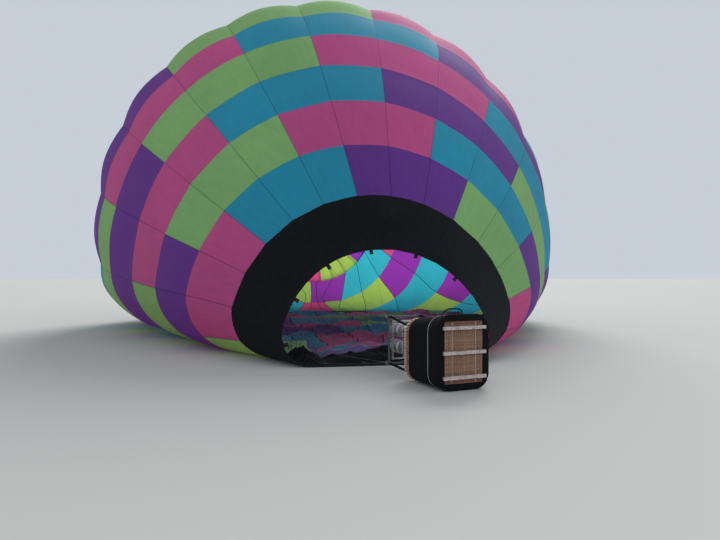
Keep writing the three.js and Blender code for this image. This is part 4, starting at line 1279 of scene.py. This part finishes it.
def burner_cans():
    """Thin steel cans with a rolled lip, and inside them the ring of fuel jets on its cross."""
    low, top = can_bottom, can_bottom + can_height
    profile = [
        (0.0001, low), (0.092, low), (0.100, low + 0.001), (0.108, low + 0.007),
        (0.1145, low + 0.016), (0.116, low + 0.024), (0.116, top - 0.006), (0.1148, top - 0.001),
        (0.1128, top), (0.1112, top - 0.003), (0.1112, low + 0.026), (0.109, low + 0.018),
        (0.101, low + 0.009), (0.094, low + 0.006), (0.0001, low + 0.006),
    ]
    for index, side in ((1, -1), (2, 1)):
        y = side * burner_spacing
        can = Assembly()
        can.add(lathe(profile, (0, y)))
        middle = np.array([0, y, low + can_jets])
        ring = ring_path(middle, 0.062, 36)
        can.add(tube(ring, 0.008, 10, closed=True), 1)
        for spot in ring[::3]:
            can.add(tube(spot + [[0, 0, 0.005], [0, 0, 0.016]], 0.0035), 1)
        for way in ([0.062, 0, 0], [0, 0.062, 0]):
            can.add(tube(middle + np.outer((-1, 1), way), 0.005), 1)
        can.add(tube([[0, y, low + 0.004], [0, y, low + 0.058]], 0.012, 16), 1)
        name = f"burner_can_{index}"
        can.in_basket(name + "_turned", "steel", [steel, hot_steel], name, body="burner", sharp=40)


def burner_coils():
    """Vaporizer coils: close helical tube, held by three clips down its side, tinted by heat."""
    start = can_bottom + can_height + 0.0079
    clip_radius = coil_radius - 0.0088
    turn = np.linspace(0, full_turn * coil_turns, 48 * coil_turns)
    for index, side in ((1, -1), (2, 1)):
        y = side * burner_spacing
        x_and_y = [coil_radius * np.cos(turn), y + coil_radius * np.sin(turn)]
        coil = Assembly()
        coil.add(tube(np.column_stack([*x_and_y, start + coil_pitch * turn / full_turn]), 0.0078, 14))
        for angle in np.radians([40, 160, 280]):
            foot = np.array([clip_radius * cos(angle), y + clip_radius * sin(angle), 0])
            heights = [[0, 0, can_bottom + 0.060], [0, 0, start + coil_pitch * (coil_turns - 0.3)]]
            coil.add(tube(foot + heights, 0.0022))
        name = f"burner_coil_{index}"
        coil.in_basket(name + "_wound", "steel", [hot_steel], name, body="burner")


def fuel_tanks():
    """Cylinders with domed ends, a welded seam, a collar round the valve, and two straps each."""
    low = tank_bottom
    profile = [
        (0.0001, low), (0.106, low), (0.112, low + 0.001), (0.130, low + 0.010), (0.143, low + 0.024),
        (0.150, low + 0.045), (0.150, 0.430), (0.1515, 0.434), (0.1515, 0.440), (0.150, 0.444),
        (0.150, 0.765), (0.146, 0.785), (0.136, 0.802), (0.118, 0.815), (0.098, 0.824), (0.085, 0.829),
        (0.085, 0.896), (0.0837, 0.9), (0.0805, 0.8995), (0.079, 0.896), (0.079, 0.834), (0.060, 0.836),
        (0.026, 0.838), (0.022, 0.842), (0.020, 0.872), (0.0001, 0.874),
    ]
    for name, x, y in (("left", -0.246, 0.361), ("right", 0.246, 0.361)):
        tank = Assembly()
        tank.add(lathe(profile, (x, y)))
        for height in (0.25, 0.62):
            tank.add(tube(ring_path((x, y, height), 0.1508, 64), 0.018, closed=True, flatten=0.1), 1)
            tank.add(block((0.044, 0.006, 0.042), (x, y - 0.1525, height), 0.002), 2)
        tank.add(tube([[x, y, 0.872], [x, y, 0.884]], 0.028, 10), 2)
        materials = [tank_metal, black_web, steel]
        tank.in_basket(f"fuel_tank_{name}_alloy", "tank_metal", materials, f"fuel_tank_{name}", sharp=40)


gores()
load_tapes()
mouth_hem()
for name, (side_x, side_y, group) in wire_groups.items():
    flying_wires(name, side_x, side_y, group)
corner_links()
slack_sheet()
parachute_sheet()
crown_straps()
basket_rim()
basket_wall()
cover("lower_cover", wall_bottom, lace_height - lace_gap, "cover_lower")
cover("upper_cover", lace_height + lace_gap, cover_top, "cover_upper")
lacing()
bottom_border()
woven_floor()
floor_ropes()
carry_handle()
uprights()
burner_frame()
burner_block()
burner_cans()
burner_coils()
fuel_tanks()

# Frame nodes that keep their shape, with softened edges
for node, material, width in (
    ("skid_1", timber, 0.003), ("skid_2", timber, 0.003), ("skid_3", timber, 0.003),
    ("gimbal_ring", steel, 0.002), ("crown_ring", steel, 0.003),
    ("valve_lever_1", lever_paint, 0.0015), ("valve_lever_2", lever_paint, 0.0015),
):
    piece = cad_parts[node]
    piece.data.materials.clear()
    piece.data.materials.append(material)
    piece.data.polygons.foreach_set("material_index", [0] * len(piece.data.polygons))
    soften = piece.modifiers.new("soften", "BEVEL")
    soften.width = width
    soften.segments = 2
    soften.limit_method = "ANGLE"
    soften.angle_limit = radians(40)
    soften.harden_normals = False

# Camera
camera = bpy.data.objects.new("camera", bpy.data.cameras.new("camera"))
bpy.context.scene.collection.objects.link(camera)
camera.location = camera_place + field
camera.rotation_euler = (pi / 2, 0, -camera_yaw)
camera.data.lens = camera_lens
camera.data.sensor_width = 36
camera.data.shift_y = horizon_below_middle / photo_width
camera.data.clip_end = 1000
bpy.context.scene.camera = camera

# Floor and light
floor_half = 300
corners = [(x * floor_half, y * floor_half, 0) for x, y in ((-1, -1), (1, -1), (1, 1), (-1, 1))]
floor = make_mesh("floor", corners, [(0, 1, 2, 3)])
floor_look = Look("floor")
floor_look.fill(floor_look.surface, {"Base Color": "#BDBBB6", "Roughness": 0.92, "Specular IOR Level": 0.2})
floor.data.materials.append(floor_look.material)

world = bpy.data.worlds.new("studio")
world.use_nodes = True
world.node_tree.nodes["Background"].inputs["Color"].default_value = linear("#DCE4EE")
world.node_tree.nodes["Background"].inputs["Strength"].default_value = 0.8
bpy.context.scene.world = world

for name, strength, spread, toward in (
    ("back_light", 2.7, 35, (0.28, 0.74, 0.61)),
    ("side_light", 0.55, 60, (0.8, -0.55, 0.25)),
):
    light = bpy.data.objects.new(name, bpy.data.lights.new(name, "SUN"))
    light.data.energy = strength
    light.data.angle = radians(spread)
    light.rotation_euler = Vector(toward).to_track_quat("Z", "Y").to_euler()
    bpy.context.scene.collection.objects.link(light)

bpy.context.scene.view_settings.view_transform = "Standard"
